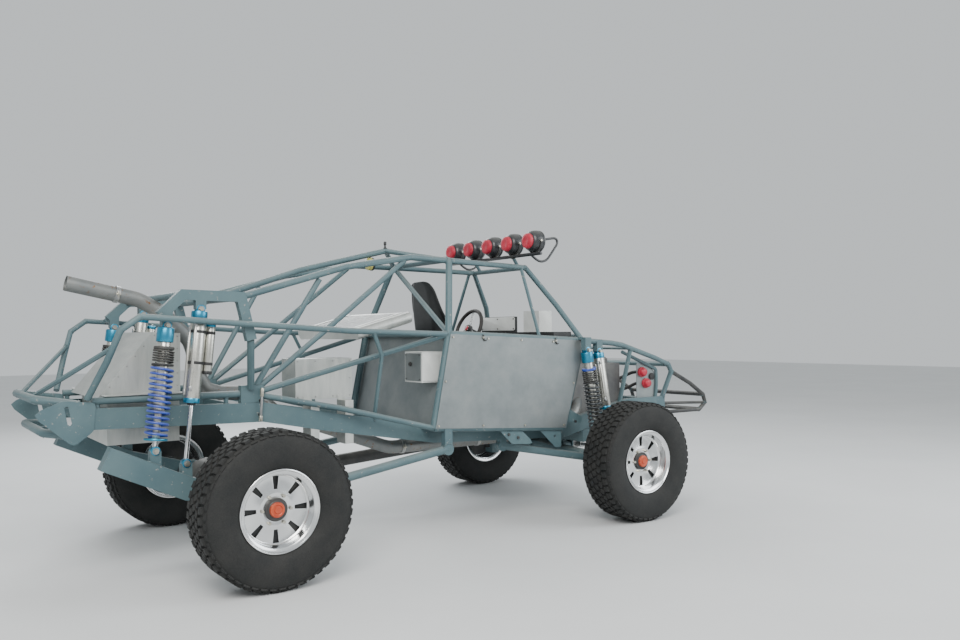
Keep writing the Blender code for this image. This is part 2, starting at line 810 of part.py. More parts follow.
def spine_tubes(extra=0.0):
    """The centre tube from the towers' bar to its crest, and its two branches to the hoop's corners."""
    bar = spot("tower_front_top")
    crest = spot("spine_crest")
    pieces = [tube([Vector((bar.x, 0.0, bar.z)), spot("spine_mid"), crest], SIDE_TUBE, 0.0, extra)]
    for side in SIDE_NAMES:
        pieces.append(tube([crest, spot("hoop_joint", side)], BRACE_TUBE, 0.0, extra))
    return pieces


def build_main_hoop():
    cuts = [*both(rail_pieces), across_tube("tower_front_top", SIDE_TUBE, GAP)]
    joined("main_hoop", [*hoop_tubes(), *spine_tubes()], "frame_paint", cuts)


def side_tubes(side, extra=0.0):
    """The frame round the door opening's lower half: belt, front post and sill."""
    return [
        named_tube(["hoop_belt", "pillar_foot"], side, MAIN_TUBE, 0.0, extra),
        named_tube(["pillar_foot", "sill_front"], side, MAIN_TUBE, 0.0, extra),
        named_tube(["sill_front", "hoop_foot"], side, MAIN_TUBE, 0.0, extra),
    ]


def build_side_frames():
    for side, side_name in SIDE_NAMES.items():
        front = spot("sill_front", side)
        inboard = Vector((front.x, spot("rail_front", side).y, front.z - MAIN_TUBE))
        outrigger = tube([front, inboard], SIDE_TUBE)
        pivot = rear_share("arm_pivot", side)
        bracket = hanger(pivot, spot("hoop_foot").z - pivot.z)
        coil = front_share("coil_top", side)
        inner = spot("pillar_foot", side).y + side * MAIN_TUBE / 3
        top = spot("pillar_foot").z + MAIN_TUBE / 2
        mount = box((SADDLE_LENGTH, SHOCK_EYE_WIDTH, top - coil.z), (coil.x, coil.y, (top + coil.z) / 2))
        strap = box((SADDLE_LENGTH, abs(coil.y - inner), STRAP_THICKNESS),
                    (coil.x, (coil.y + inner) / 2, top - STRAP_THICKNESS / 2))
        pieces = [*side_tubes(side), outrigger, bracket, mount, strap]
        for shares in TAB_SHARES.values():
            outline = [Vector((along * WHEELBASE, up * ROOF_HEIGHT)) for along, up in shares]
            pieces.append(plate(rounded(outline, TAB_ROUND), front.y, TAB_THICKNESS))
        hole = Vector((TAB_HOLE_SHARES[0] * WHEELBASE, front.y, TAB_HOLE_SHARES[1] * ROOF_HEIGHT))
        drill = rod(hole - Vector((0.0, TAB_THICKNESS, 0.0)), hole + Vector((0.0, TAB_THICKNESS, 0.0)),
                    TAB_HOLE_RADIUS)
        joined("side_frame_" + side_name, pieces, "frame_paint",
               [*hoop_tubes(GAP), *rail_pieces(side, GAP), arm_eye(pivot, GAP), eye(coil, GAP), drill])


def cowl_bar_end(side):
    return spot("pillar_foot", side).lerp(spot("pillar_mid", side), COWL_SHARE)


def cab_tubes(extra=0.0):
    """Roof rails and windscreen pillars in one bent tube a side, with the bars between them."""
    pieces = []
    for side in SIDE_NAMES:
        pieces.append(named_tube(["hoop_joint", "roof_front", "pillar_mid", "pillar_foot"], side, SIDE_TUBE,
                                 0.0, extra))
        brace_top = spot("roof_front", side).lerp(spot("hoop_joint", side), BRACE_SHARE)
        pieces.append(tube([brace_top, spot("brace_foot", side)], SMALL_TUBE, 0.0, extra))
    pieces.append(across_tube("roof_front", BRACE_TUBE, extra))
    pieces.append(tube([cowl_bar_end(RIGHT), cowl_bar_end(LEFT)], BRACE_TUBE, 0.0, extra))
    return pieces


def build_cab_frame():
    joined("cab_frame", cab_tubes(), "frame_paint",
           [*hoop_tubes(GAP), *spine_tubes(GAP), *both(side_tubes)])


def knee_block(side, extra=0.0):
    """The welded block on the rail where the rear tubes meet."""
    foot = spot("rail_axle", side)
    top = spot("knee", side).z + KNEE_RISE
    base = foot.z + RAIL_HEIGHT / 2 + GAP
    middle = Vector((spot("rail_peak").x - KNEE_SETBACK, foot.y, (base + top) / 2))
    return box((KNEE_LENGTH + 2 * extra, RAIL_WIDTH + 2 * extra, top - base + 2 * extra), middle)


def tower_arches(side, extra=0.0):
    """The flat arch that the rear shocks hang from, with its leg to the knee block."""
    names = ["tower_rear", "tower_rear_top", "tower_front_top", "tower_front_mid"]
    arch = plate(offset_strip(flat_line(names), TOWER_DEPTH, extra), spot("tower_rear", side).y,
                 TOWER_WIDTH + 2 * extra)
    leg = named_tube(["tower_front_mid", "tower_foot"], side, SIDE_TUBE, 0.0, extra)
    return [arch, leg]


def tower_mounts(side, extra=0.0):
    return [saddle(rear_share(name, side), -1, extra) for name in ("coil_top", "bypass_top")]


def rear_tubes(side, extra=0.0):
    """The tubes from the hoop back to the tail on one side."""
    lines = (
        (["tower_front_top", "rear_top_mid", "rear_top_fore", "hoop_joint"], SIDE_TUBE),
        (["knee", "upright_top"], BRACE_TUBE),
        (["knee", "strut_mid", "strut_top"], BRACE_TUBE),
        (["knee", "hoop_belt"], BRACE_TUBE),
        (["knee", "side_low_mid", "hoop_foot"], BRACE_TUBE),
        (["belt_tail", "belt_tail_mid", "belt_bend", "belt_rear", "belt_mid", "hoop_belt"], BRACE_TUBE),
        (["post_top", "post_bend", "post_foot"], SMALL_TUBE),
        (["tower_rear", "tower_link"], BRACE_TUBE),
    )
    return [named_tube(names, side, diameter, 0.0, extra) for names, diameter in lines]


def build_rear_cage():
    for side, side_name in SIDE_NAMES.items():
        arch, leg = tower_arches(side, GAP)
        bpy.data.objects.remove(leg, do_unlink=True)
        joined("rear_cage_" + side_name, [knee_block(side), *rear_tubes(side)], "frame_paint",
               [*hoop_tubes(GAP), *spine_tubes(GAP), *rail_pieces(side, GAP), arch, *tower_mounts(side, GAP),
                across_tube("tower_front_top", SIDE_TUBE, GAP)])


def build_shock_towers():
    pieces = [piece for side in SIDE_NAMES for piece in tower_arches(side)]
    pieces.append(across_tube("tower_front_top", SIDE_TUBE))
    pieces.append(across_tube("tower_rear_top", SIDE_TUBE))
    cuts = []
    for side in SIDE_NAMES:
        cuts.append(knee_block(side, GAP))
        cuts.append(named_tube(["knee", "upright_top"], side, BRACE_TUBE, 0.0, GAP))
        pieces += tower_mounts(side)
        cuts += [eye(rear_share(name, side), GAP) for name in ("coil_top", "bypass_top")]
    joined("shock_towers", pieces, "frame_paint", cuts)


def build_rear_bumper():
    """Two bowed bars, the slotted plates that lap the rails' ends and the two stays up to the belt tubes."""
    pieces = []
    slots = []
    for end, corner in (("tail_end", "tail_corner"), ("tail_low_end", "tail_low_corner")):
        pieces.append(tube([spot(end, RIGHT), spot(corner, RIGHT), spot(corner, LEFT), spot(end, LEFT)], MAIN_TUBE))
    for side in SIDE_NAMES:
        stay_top = spot("belt_tail_mid", side).lerp(spot("belt_bend", side), STAY_SHARE)
        pieces.append(tube([spot("tail_brace_foot", side), stay_top], SMALL_TUBE))
        outline = flat_line(["gusset_fore_top", "gusset_rear_top", "gusset_rear", "gusset_low",
                             "gusset_fore_low"])
        outer = spot("rail_tail", side).y + side * (RAIL_WIDTH / 2 + GAP + GUSSET_THICKNESS / 2)
        pieces.append(plate(rounded(outline, GUSSET_ROUND), outer, GUSSET_THICKNESS))
        slot = rounded(offset_strip(flat_line(["slot_high", "slot_low"]), SLOT_WIDTH), SLOT_WIDTH)
        slots.append(plate(slot, outer, 3 * GUSSET_THICKNESS))
    cuts = both(rail_pieces) + both(rear_tubes) + slots
    joined("rear_bumper", pieces, "frame_paint", cuts)


def nose_post_top(side):
    return spot("hood_bend", side).lerp(spot("hood_mid", side), NOSE_POST_SHARE)


def nose_tubes(side, extra=0.0):
    names = ["pillar_foot", "hood_rear", "hood_bend", "hood_mid", "hood_front", "nose_upper", "nose_lower"]
    line = [spot(name, side) for name in names]
    line[0] = line[0] + (line[1] - line[0]).normalized() * NOSE_START
    return [
        tube(line, SIDE_TUBE, 0.0, extra),
        tube([nose_post_top(side), spot("nose_post_foot", side)], BRACE_TUBE, 0.0, extra),
    ]


def build_nose_frame():
    pieces = [piece for side in SIDE_NAMES for piece in nose_tubes(side)]
    pieces.append(across_tube("hood_front", SIDE_TUBE))
    pieces.append(tube([nose_post_top(RIGHT), nose_post_top(LEFT)], SMALL_TUBE))
    cuts = both(rail_pieces) + both(side_tubes) + cab_tubes(GAP)
    for side in SIDE_NAMES:
        pieces.append(saddle(front_share("bypass_top", side), -1))
        cuts.append(eye(front_share("bypass_top", side), GAP))
    joined("nose_frame", pieces, "frame_paint", cuts)


def build_front_bumper():
    pieces = []
    for side in SIDE_NAMES:
        names = ["nose_upper", "bumper_slope", "bumper_tip_top", "bumper_tip", "bumper_tip_low", "bumper_foot"]
        hoop = [spot(name, side) for name in names]
        tip = spot("rail_tip", side)
        root = Vector((hoop[-1].x - BRACE_TUBE, tip.y, tip.z))
        pieces.append(tube([*hoop, root], BRACE_TUBE))
        pieces.append(tube([tip - Vector((BRACE_TUBE, 0.0, 0.0)), spot("bumper_tip", side)], SMALL_TUBE))
    pieces.append(across_tube("bumper_tip_top", BRACE_TUBE))
    pieces.append(across_tube("bumper_tip_low", BRACE_TUBE))
    joined("front_bumper", pieces, "frame_paint", both(rail_pieces) + both(nose_tubes))


# Sheet metal

def build_door_panels():
    """The fixed side panels, flat on the belt, the sill, the hoop and the front post."""
    outline = flat_line(["hoop_belt", "pillar_foot", "sill_front", "hoop_foot"])
    for side, side_name in SIDE_NAMES.items():
        face = spot("hoop_belt", side).y + side * (MAIN_TUBE / 2 + GAP + PANEL_THICKNESS / 2)
        joined("side_panel_" + side_name, [plate(outline, face, PANEL_THICKNESS)], "aluminium_sheet")


def floor_line():
    """The floor's middle line from back to front, in the XZ plane."""
    low = flat(spot("rail_low"))
    slope = (flat(spot("rail_front")) - low).normalized()
    up = Vector((-slope.y, slope.x)) * (RAIL_HEIGHT / 2 + GAP + FLOOR_THICKNESS / 2)
    return low + up + slope * OVERRUN, low + up + slope * FLOOR_LENGTH


def sheet_half_width():
    return spot("hoop_belt").y - MAIN_TUBE / 2 - GAP


def floor_sheet(extra=0.0):
    return plate(offset_strip(floor_line(), FLOOR_THICKNESS, extra), 0.0, 2 * (sheet_half_width() + extra))


def firewall_line():
    """The middle line of the sheet from the floor's front edge up to the back of the cowl bar."""
    floor_rear, floor_front = floor_line()
    slope = (floor_front - floor_rear).normalized()
    lift = Vector((0.0, FLOOR_THICKNESS / 2 + GAP + SHEET_THICKNESS / 2))
    foot = floor_front + lift - slope * SHEET_THICKNESS
    top = flat(cowl_bar_end(LEFT)) - Vector((BRACE_TUBE / 2 + GAP + SHEET_THICKNESS / 2, 0.0))
    return foot, top


def firewall_sheet():
    return plate(offset_strip(firewall_line(), SHEET_THICKNESS), 0.0, 2 * sheet_half_width())


def seat_plate():
    """The plate on the floor's right side for a second seat."""
    floor_rear, floor_front = floor_line()
    slope = (floor_front - floor_rear).normalized()
    rise = Vector((-slope.y, slope.x)) * SEAT_PLATE_THICKNESS / 2
    start = floor_rear.lerp(floor_front, SEAT_PLATE_START_SHARE) + rise
    return plate(offset_strip([start, start + slope * SEAT_PLATE_LENGTH], FLOOR_THICKNESS + SEAT_PLATE_THICKNESS),
                 -SEAT_Y, SEAT_PLATE_WIDTH)


def ahead_of_firewall():
    """All the room from the firewall's back forward, to cut what is hung behind it."""
    foot, top = firewall_line()
    along = (top - foot).normalized()
    depth = 2 * DASH_DEPTH
    ahead = Vector((along.y, -along.x)) * (depth - SHEET_THICKNESS) / 2
    if ahead.x < 0:
        ahead = -ahead
    rise = along * DASH_DEPTH
    line = [foot + ahead - rise, top + ahead + rise]
    return plate(offset_strip(line, depth + 2 * GAP), 0.0, 2 * sheet_half_width())


def build_cab_sheets():
    joined("floor_pan", [floor_sheet(), seat_plate()], "aluminium_sheet", both(side_tubes) + hoop_tubes(GAP))
    joined("firewall", [firewall_sheet()], "aluminium_sheet", both(side_tubes) + cab_tubes(GAP))
    joined("rear_bulkhead", [bulkhead_sheet()], "aluminium_sheet",
           [*hoop_tubes(GAP), *both(side_tubes), *both(rail_pieces)])


# Wheels

def wheel_matrix(side, centre):
    """Turns a body made about its Z axis so that Z points outboard, at the wheel's centre."""
    return Matrix.Translation(centre) @ Matrix.Rotation(math.radians(-90.0 * side), 4, "X")


def tyre_profile():
    half = TYRE_WIDTH / 2
    bead = RIM_WIDTH / 2 - RIM_FLANGE - GAP
    shoulder = TYRE_RADIUS * TYRE_SHOULDER_SHARE
    outer = [
        (RIM_SEAT_RADIUS + GAP, bead),
        (RIM_RADIUS + GAP, bead),
        (RIM_RADIUS + TYRE_WALL, half * TYRE_BEAD_SHARE),
        ((RIM_RADIUS + TYRE_RADIUS) / 2, half),
        (shoulder, half * TYRE_EDGE_SHARE),
        (TYRE_RADIUS, half * TYRE_TREAD_SHARE),
    ]
    inner = [
        (RIM_SEAT_RADIUS + GAP, bead - TYRE_WALL),
        (RIM_RADIUS + TYRE_WALL, bead - TYRE_WALL / 2),
        (TYRE_RADIUS - TYRE_WALL, half * TYRE_TREAD_SHARE - TYRE_WALL),
    ]
    mirrored = [(radius, -height) for radius, height in outer[::-1]]
    back = [(radius, -height) for radius, height in inner]
    return outer + mirrored + back + inner[::-1]


def rim_profile():
    half = RIM_WIDTH / 2
    face = half - RIM_FACE_RECESS
    back = face - RIM_FACE_THICKNESS
    barrel = RIM_SEAT_RADIUS - RIM_WALL
    seat = half - RIM_FLANGE
    return [
        (0.0, face + HUB_CAP_RISE),
        (HUB_RADIUS, face + HUB_CAP_RISE),
        (HUB_RADIUS, face),
        (barrel, face),
        (barrel, seat),
        (RIM_RADIUS, half),
        (RIM_RADIUS, seat),
        (RIM_SEAT_RADIUS, seat),
        (RIM_SEAT_RADIUS, -seat),
        (RIM_RADIUS, -seat),
        (RIM_RADIUS, -half),
        (barrel, -seat),
        (barrel, back),
        (HUB_RADIUS, back),
        (HUB_RADIUS, back - HUB_LENGTH),
        (SPINDLE_RADIUS + HUB_CLEARANCE, back - HUB_LENGTH),
        (SPINDLE_RADIUS + HUB_CLEARANCE, face - HUB_CLEARANCE),
        (0.0, face - HUB_CLEARANCE),
    ]


def build_wheels():
    for end, along in (("rear", 0.0), ("front", WHEELBASE)):
        for side, side_name in SIDE_NAMES.items():
            centre = Vector((along, side * HALF_TRACK, TYRE_RADIUS))
            turn = wheel_matrix(side, centre)
            tyre = turned("tyre", tyre_profile(), WHEEL_STEPS, closed=True)
            tyre.matrix_world = turn
            joined("tyre_%s_%s" % (end, side_name), [tyre], "rubber_black", origin=centre)
            rim = turned("rim", rim_profile(), WHEEL_STEPS, closed=False)
            rim.matrix_world = turn
            middle = (RIM_SEAT_RADIUS - RIM_WALL + HUB_RADIUS) / 2
            face = RIM_WIDTH / 2 - RIM_FACE_RECESS - RIM_FACE_THICKNESS / 2
            cuts = []
            for slot in range(RIM_SLOTS):
                spin = Matrix.Rotation(2 * math.pi * slot / RIM_SLOTS, 4, "Z")
                cut = box((RIM_SLOT_LENGTH, RIM_SLOT_WIDTH, RIM_FACE_THICKNESS + 2 * GAP), (0.0, 0.0, 0.0))
                cut.matrix_world = turn @ spin @ Matrix.Translation((middle, 0.0, face))
                cuts.append(cut)
            joined("rim_%s_%s" % (end, side_name), [rim], "wheel_polished", cuts, origin=centre)


# Rear suspension and drive

def axle_bar(radius_extra=0.0):
    reach = HALF_TRACK + RIM_WIDTH / 2 - RIM_FACE_RECESS - RIM_FACE_THICKNESS - BEARING_GAP
    hub_end = HALF_TRACK + RIM_WIDTH / 2 - RIM_FACE_RECESS - RIM_FACE_THICKNESS - HUB_LENGTH - BEARING_GAP
    centre = Vector((0.0, 0.0, TYRE_RADIUS))
    thick = rod(centre - Vector((0.0, hub_end, 0.0)), centre + Vector((0.0, hub_end, 0.0)),
                AXLE_TUBE_RADIUS + radius_extra)
    thin = rod(centre - Vector((0.0, reach, 0.0)), centre + Vector((0.0, reach, 0.0)), SPINDLE_RADIUS)
    return thick, thin


def pinion_points():
    centre = Vector((0.0, 0.0, TYRE_RADIUS))
    nose = centre + Vector((PINION_LENGTH, 0.0, PINION_RISE))
    return centre, nose


def pinion_cone(extra=0.0):
    centre, nose = pinion_points()
    along = (nose - centre).normalized()
    return rod(centre, nose + along * extra, DIFFERENTIAL_RADIUS * PINION_ROOT_SHARE + extra, PINION_RADIUS + extra)


def build_rear_axle():
    thick, thin = axle_bar()
    centre = pinion_points()[0]
    bowl = rod(centre - Vector((0.0, DIFFERENTIAL_WIDTH / 2, 0.0)), centre + Vector((0.0, DIFFERENTIAL_WIDTH / 2, 0.0)),
               DIFFERENTIAL_RADIUS)
    joined("rear_axle", [thick, thin, bowl, pinion_cone()], "dark_steel")


def build_trailing_arms():
    for side, side_name in SIDE_NAMES.items():
        points = [rear_share(name, side) for name in ("arm_fore", "arm_axle", "arm_heel", "arm_tail")]
        outline = offset_strip([flat(point) for point in points], ARM_BOX_HEIGHT)
        pieces = [plate(outline, points[0].y, ARM_BOX_WIDTH)]
        pieces.append(tube([rear_share("arm_pivot", side), rear_share("arm_knee", side), rear_share("arm_fore", side)], ARM_TUBE))
        cuts = [axle_bar(GAP)[0]]
        for name in ("coil_foot", "bypass_foot"):
            pieces.append(saddle(rear_share(name, side), 1))
            cuts.append(eye(rear_share(name, side), GAP))
        pieces.append(arm_eye(rear_share("arm_pivot", side)))
        joined("trailing_arm_" + side_name, pieces, "frame_paint", cuts)


def spring(base, along, length):
    """A wound round wire about a line, from its base up."""
    turn = along.to_track_quat("Z", "Y").to_matrix()
    steps = SPRING_TURNS * SPRING_TURN_STEPS
    line = []
    for step in range(steps + 1):
        angle = 2 * math.pi * step / SPRING_TURN_STEPS
        reach = COIL_RADIUS - SPRING_WIRE / 2
        line.append(base + turn @ Vector((math.cos(angle) * reach, math.sin(angle) * reach, length * step / steps)))
    return tube(line, SPRING_WIRE)


def coilover(name, top, foot):
    """A coil-spring shock: eyes, rod, body, cap and the wound spring between its two seats."""
    along = (top - foot).normalized()
    length = (top - foot).length
    cap_base = top - along * (SHOCK_EYE_RADIUS + SHOCK_CAP_LENGTH)
    seat = foot + along * (SHOCK_EYE_RADIUS + SEAT_OFFSET)
    spring_top = seat + along * length * COIL_LENGTH_SHARE
    disc = along * SPRING_SEAT_THICKNESS
    pieces = [
        rod(foot, top, COIL_BODY_RADIUS * ROD_ROOT_SHARE),
        eye(foot),
        eye(top),
        rod(cap_base, top - along * SHOCK_EYE_RADIUS / 2, SHOCK_CAP_RADIUS),
        rod(seat - disc / 2, seat + disc / 2, COIL_RADIUS),
        rod(spring_top - disc / 2, spring_top + disc / 2, COIL_RADIUS),
        rod(seat, cap_base, COIL_BODY_RADIUS),
        spring(seat, along, (spring_top - seat).length),
    ]
    joined(name, pieces, "spring_blue")


def reservoir(top, along):
    """The gas bottle strapped ahead of a shock's body, with its two clamps."""
    out = (Vector((1.0, 0.0, 0.0)) - along * along.x).normalized() * (BYPASS_RADIUS + RESERVOIR_RADIUS)
    high = top - along * RESERVOIR_DROP
    low = high - along * RESERVOIR_LENGTH
    pieces = [rod(low + out, high + out, RESERVOIR_RADIUS)]
    for share in CLAMP_SHARES:
        middle = low.lerp(high, share)
        pieces.append(rod(middle, middle + out, CLAMP_RADIUS, sides=PIPE_SIDES))
    return pieces


def bypass(name, top, foot, side, bottled):
    """A bypass shock: a fat body with three outer pipes over a thin rod."""
    along = (top - foot).normalized()
    length = (top - foot).length
    body_top = top - along * SHOCK_EYE_RADIUS / 2
    body_foot = body_top - along * length * BYPASS_LENGTH_SHARE
    pieces = [
        rod(foot, top, SHOCK_ROD_RADIUS),
        eye(foot),
        eye(top),
        rod(body_foot, body_top, BYPASS_RADIUS),
    ]
    for share in (-1.0, 0.0, 1.0):
        spin = math.radians(PIPE_SPREAD) * share
        out = Vector((-math.cos(spin), side * math.sin(spin), 0.0)) * BYPASS_RADIUS
        pieces.append(rod(body_foot + out + along * PIPE_MARGIN, body_top + out - along * PIPE_MARGIN,
                          BYPASS_PIPE_RADIUS, sides=PIPE_SIDES))
    if bottled:
        pieces.extend(reservoir(body_top, along))
    joined(name, pieces, "shock_steel")


def build_shocks():
    for side, side_name in SIDE_NAMES.items():
        coilover("rear_coilover_" + side_name, rear_share("coil_top", side), rear_share("coil_foot", side))
        bypass("rear_bypass_" + side_name, rear_share("bypass_top", side), rear_share("bypass_foot", side), side,
               bottled=True)
        coilover("front_coilover_" + side_name, front_share("coil_top", side), front_share("coil_foot", side))
        bypass("front_bypass_" + side_name, front_share("bypass_top", side), front_share("bypass_foot", side),
               side, bottled=False)


# Front suspension and steering

def crossmember_box(extra=0.0):
    """The beam under the rails that carries the front suspension, the engine and the steering rack."""
    width = 2 * (spot("rail_tail").y + RAIL_WIDTH / 2)
    return box((FRONT_BEAM_LENGTH + 2 * extra, width + 2 * extra, FRONT_BEAM_HEIGHT + 2 * extra),
               (CROSSMEMBER_X, 0.0, FRONT_BEAM_TOP - FRONT_BEAM_HEIGHT / 2))


def beam_pivot(side):
    """The inner pivot of one side's beam, past the middle on the other side."""
    return Vector((WHEELBASE + side * BEAM_OFFSET, -side * BEAM_PIVOT_Y, BEAM_PIVOT_Z))


def beam_eye(pivot, extra=0.0):
    reach = Vector((BEAM_WIDTH / 2 + extra, 0.0, 0.0))
    return rod(pivot - reach, pivot + reach, BEAM_PIN_RADIUS + extra)


def build_front_crossmember():
    pieces = [crossmember_box()]
    cuts = both(rail_pieces)
    for side in SIDE_NAMES:
        pivot = beam_pivot(side)
        height = FRONT_BEAM_TOP - FRONT_BEAM_HEIGHT / 2 - pivot.z + BEAM_EYE_RADIUS
        ear_x = (BEAM_WIDTH - EAR_THICKNESS) / 2
        pieces.append(box((BEAM_WIDTH, BEAM_EAR_WIDTH, EAR_THICKNESS * 2),
                          (pivot.x, pivot.y, FRONT_BEAM_TOP - FRONT_BEAM_HEIGHT / 2)))
        for end in (-1, 1):
            pieces.append(box((EAR_THICKNESS, BEAM_EAR_WIDTH, height),
                              (pivot.x + end * ear_x, pivot.y, pivot.z - BEAM_EYE_RADIUS + height / 2)))
        cuts.append(beam_eye(pivot, GAP))
        rail_y = spot("rail_tail", side).y
        pieces.append(box((FRONT_BEAM_LENGTH, RAIL_WIDTH, RISER_HEIGHT),
                          (CROSSMEMBER_X, rail_y, FRONT_BEAM_TOP + RISER_HEIGHT / 2 - OVERRUN)))
        pieces.append(box((MOUNT_SIZE, MOUNT_SIZE, ENGINE_BASE - GAP - FRONT_BEAM_TOP + OVERRUN),
                          (CROSSMEMBER_X, side * MOUNT_Y, (ENGINE_BASE - GAP + FRONT_BEAM_TOP - OVERRUN) / 2)))
    joined("front_crossmember", pieces, "frame_paint", cuts)


def build_front_beams():
    """One swinging beam a side, with its radius arm back to the rail and the yoke for the knuckle."""
    for side, side_name in SIDE_NAMES.items():
        pivot = beam_pivot(side)
        kingpin = Vector((WHEELBASE, side * KINGPIN_Y, 0.0))
        elbow = Vector((WHEELBASE + side * BEAM_OFFSET, side * BEAM_ELBOW_Y, BEAM_ELBOW_Z))
        yoke = Vector((WHEELBASE, side * (KINGPIN_Y - YOKE_SETBACK), TYRE_RADIUS))
        pieces = [tube([pivot, elbow, yoke], BEAM_TUBE)]
        pieces.append(beam_eye(pivot))
        upright = UPPER_BALL_Z - LOWER_BALL_Z + BALL_HEIGHT
        pieces.append(box((YOKE_LENGTH, YOKE_WIDTH, upright), (yoke.x, yoke.y, (UPPER_BALL_Z + LOWER_BALL_Z) / 2)))
        for height in (LOWER_BALL_Z, UPPER_BALL_Z):
            pieces.append(box((YOKE_LENGTH, YOKE_SETBACK, BALL_HEIGHT),
                              (yoke.x, side * (KINGPIN_Y - YOKE_SETBACK / 2), height)))
            pieces.append(rod((kingpin.x, kingpin.y, height - BALL_HEIGHT / 2),
                              (kingpin.x, kingpin.y, height + BALL_HEIGHT / 2), BALL_RADIUS))
        foot = front_share("coil_foot", side)
        fore = front_share("bypass_foot", side)
        pad_size = (fore.x - foot.x + SADDLE_LENGTH, SHOCK_EYE_WIDTH, PAD_HEIGHT)
        pieces.append(box(pad_size, ((foot.x + fore.x) / 2, foot.y, foot.z - SADDLE_HEIGHT)))
        radius_start = Vector((foot.x, foot.y, foot.z - SADDLE_HEIGHT))
        radius_pivot = radius_end(side)
        pieces.append(tube([radius_start, radius_pivot], ARM_TUBE))
        pieces.append(arm_eye(radius_pivot))
        cuts = []
        for name in ("coil_foot", "bypass_foot"):
            pieces.append(saddle(front_share(name, side), 1))
            cuts.append(eye(front_share(name, side), GAP))
        joined("front_beam_" + side_name, pieces, "frame_paint", cuts)


def build_knuckles():
    """The turning part between the yoke's two balls, with the spindle and the steering arm."""
    hub_back = HALF_TRACK + RIM_WIDTH / 2 - RIM_FACE_RECESS - RIM_FACE_THICKNESS
    for side, side_name in SIDE_NAMES.items():
        axis = Vector((WHEELBASE, side * KINGPIN_Y, TYRE_RADIUS))
        low = LOWER_BALL_Z + BALL_HEIGHT / 2 + GAP
        high = UPPER_BALL_Z - BALL_HEIGHT / 2 - GAP
        pieces = [rod((axis.x, axis.y, low), (axis.x, axis.y, high), KNUCKLE_RADIUS)]
        spindle_end = Vector((axis.x, side * (hub_back - BEARING_GAP), axis.z))
        shoulder_end = Vector((axis.x, side * (hub_back - HUB_LENGTH - BEARING_GAP), axis.z))
        pieces.append(rod(axis, spindle_end, SPINDLE_RADIUS))
        pieces.append(rod(axis, shoulder_end, AXLE_TUBE_RADIUS))
        tip = steer_tip(side)
        pieces.append(tube([Vector((axis.x, axis.y, tip.z)), tip], STEER_ARM_SIZE))
        pieces.append(rod(tip - Vector((0.0, 0.0, STEER_ARM_SIZE / 2)), tip + Vector((0.0, 0.0, STEER_ARM_SIZE / 2)),
                          TIE_EYE_RADIUS))
        joined("knuckle_" + side_name, pieces, "dark_steel", origin=axis)


def steer_tip(side):
    return Vector((WHEELBASE + STEER_ARM_LENGTH, side * (KINGPIN_Y - STEER_ARM_INSET), TYRE_RADIUS - STEER_ARM_DROP))


def rack_line():
    return Vector((WHEELBASE + STEER_ARM_LENGTH, 0.0, RACK_Z))


def build_steering_rack():
    centre = rack_line()
    reach = Vector((0.0, RACK_HALF_LENGTH, 0.0))
    pieces = [rod(centre - reach, centre + reach, RACK_RADIUS)]
    beam_face = CROSSMEMBER_X + FRONT_BEAM_LENGTH / 2 + GAP
    for side in SIDE_NAMES:
        size = (centre.x - beam_face, RACK_BRACKET_WIDTH, 2 * RACK_RADIUS)
        pieces.append(box(size, ((centre.x + beam_face) / 2, side * RACK_BRACKET_Y, centre.z)))
    bore = rod(centre - 2 * reach, centre + 2 * reach, RACK_ROD_RADIUS + ROD_CLEARANCE)
    joined("steering_rack", pieces, "dark_steel", [bore])


def build_tie_rods():
    """The rack's bar with both tie rods, which end in eyes just over the steering arms."""
    centre = rack_line()
    reach = Vector((0.0, TIE_START_Y, 0.0))
    pieces = [rod(centre - reach, centre + reach, RACK_ROD_RADIUS)]
    for side in SIDE_NAMES:
        tip = steer_tip(side)
        height = tip.z + STEER_ARM_SIZE / 2 + EYE_CLEARANCE
        eye_low = Vector((tip.x, tip.y, height))
        eye_high = eye_low + Vector((0.0, 0.0, TIE_EYE_HEIGHT))
        start = centre + Vector((0.0, side * (TIE_START_Y - RACK_ROD_RADIUS), 0.0))
        pieces.append(tube([start, (eye_low + eye_high) / 2], 2 * RACK_ROD_RADIUS))
        pieces.append(rod(eye_low, eye_high, TIE_EYE_RADIUS))
    joined("tie_rods", pieces, "dark_steel", origin=centre)


# Engine and drive

def engine_box(extra=0.0):
    rear_face = WHEELBASE * ENGINE_REAR_SHARE
    return box((ENGINE_LENGTH + 2 * extra, ENGINE_WIDTH + 2 * extra, ENGINE_HEIGHT + 2 * extra),
               (rear_face + ENGINE_LENGTH / 2, 0.0, ENGINE_BASE + ENGINE_HEIGHT / 2))


def gearbox_axis():
    """The gearbox's axis, from the engine's back face down to its tail."""
    start = Vector((WHEELBASE * ENGINE_REAR_SHARE, 0.0, GEARBOX_FRONT_Z))
    return start, Vector((start.x - GEARBOX_LENGTH, 0.0, GEARBOX_TAIL_Z))


def gearbox_tail(extra=0.0):
    start, end = gearbox_axis()
    along = (end - start).normalized()
    return rod(end - along * OVERRUN, end + along * (GEARBOX_TAIL_LENGTH + extra), GEARBOX_TAIL_RADIUS + extra,
               GEARBOX_FLANGE_RADIUS + extra)


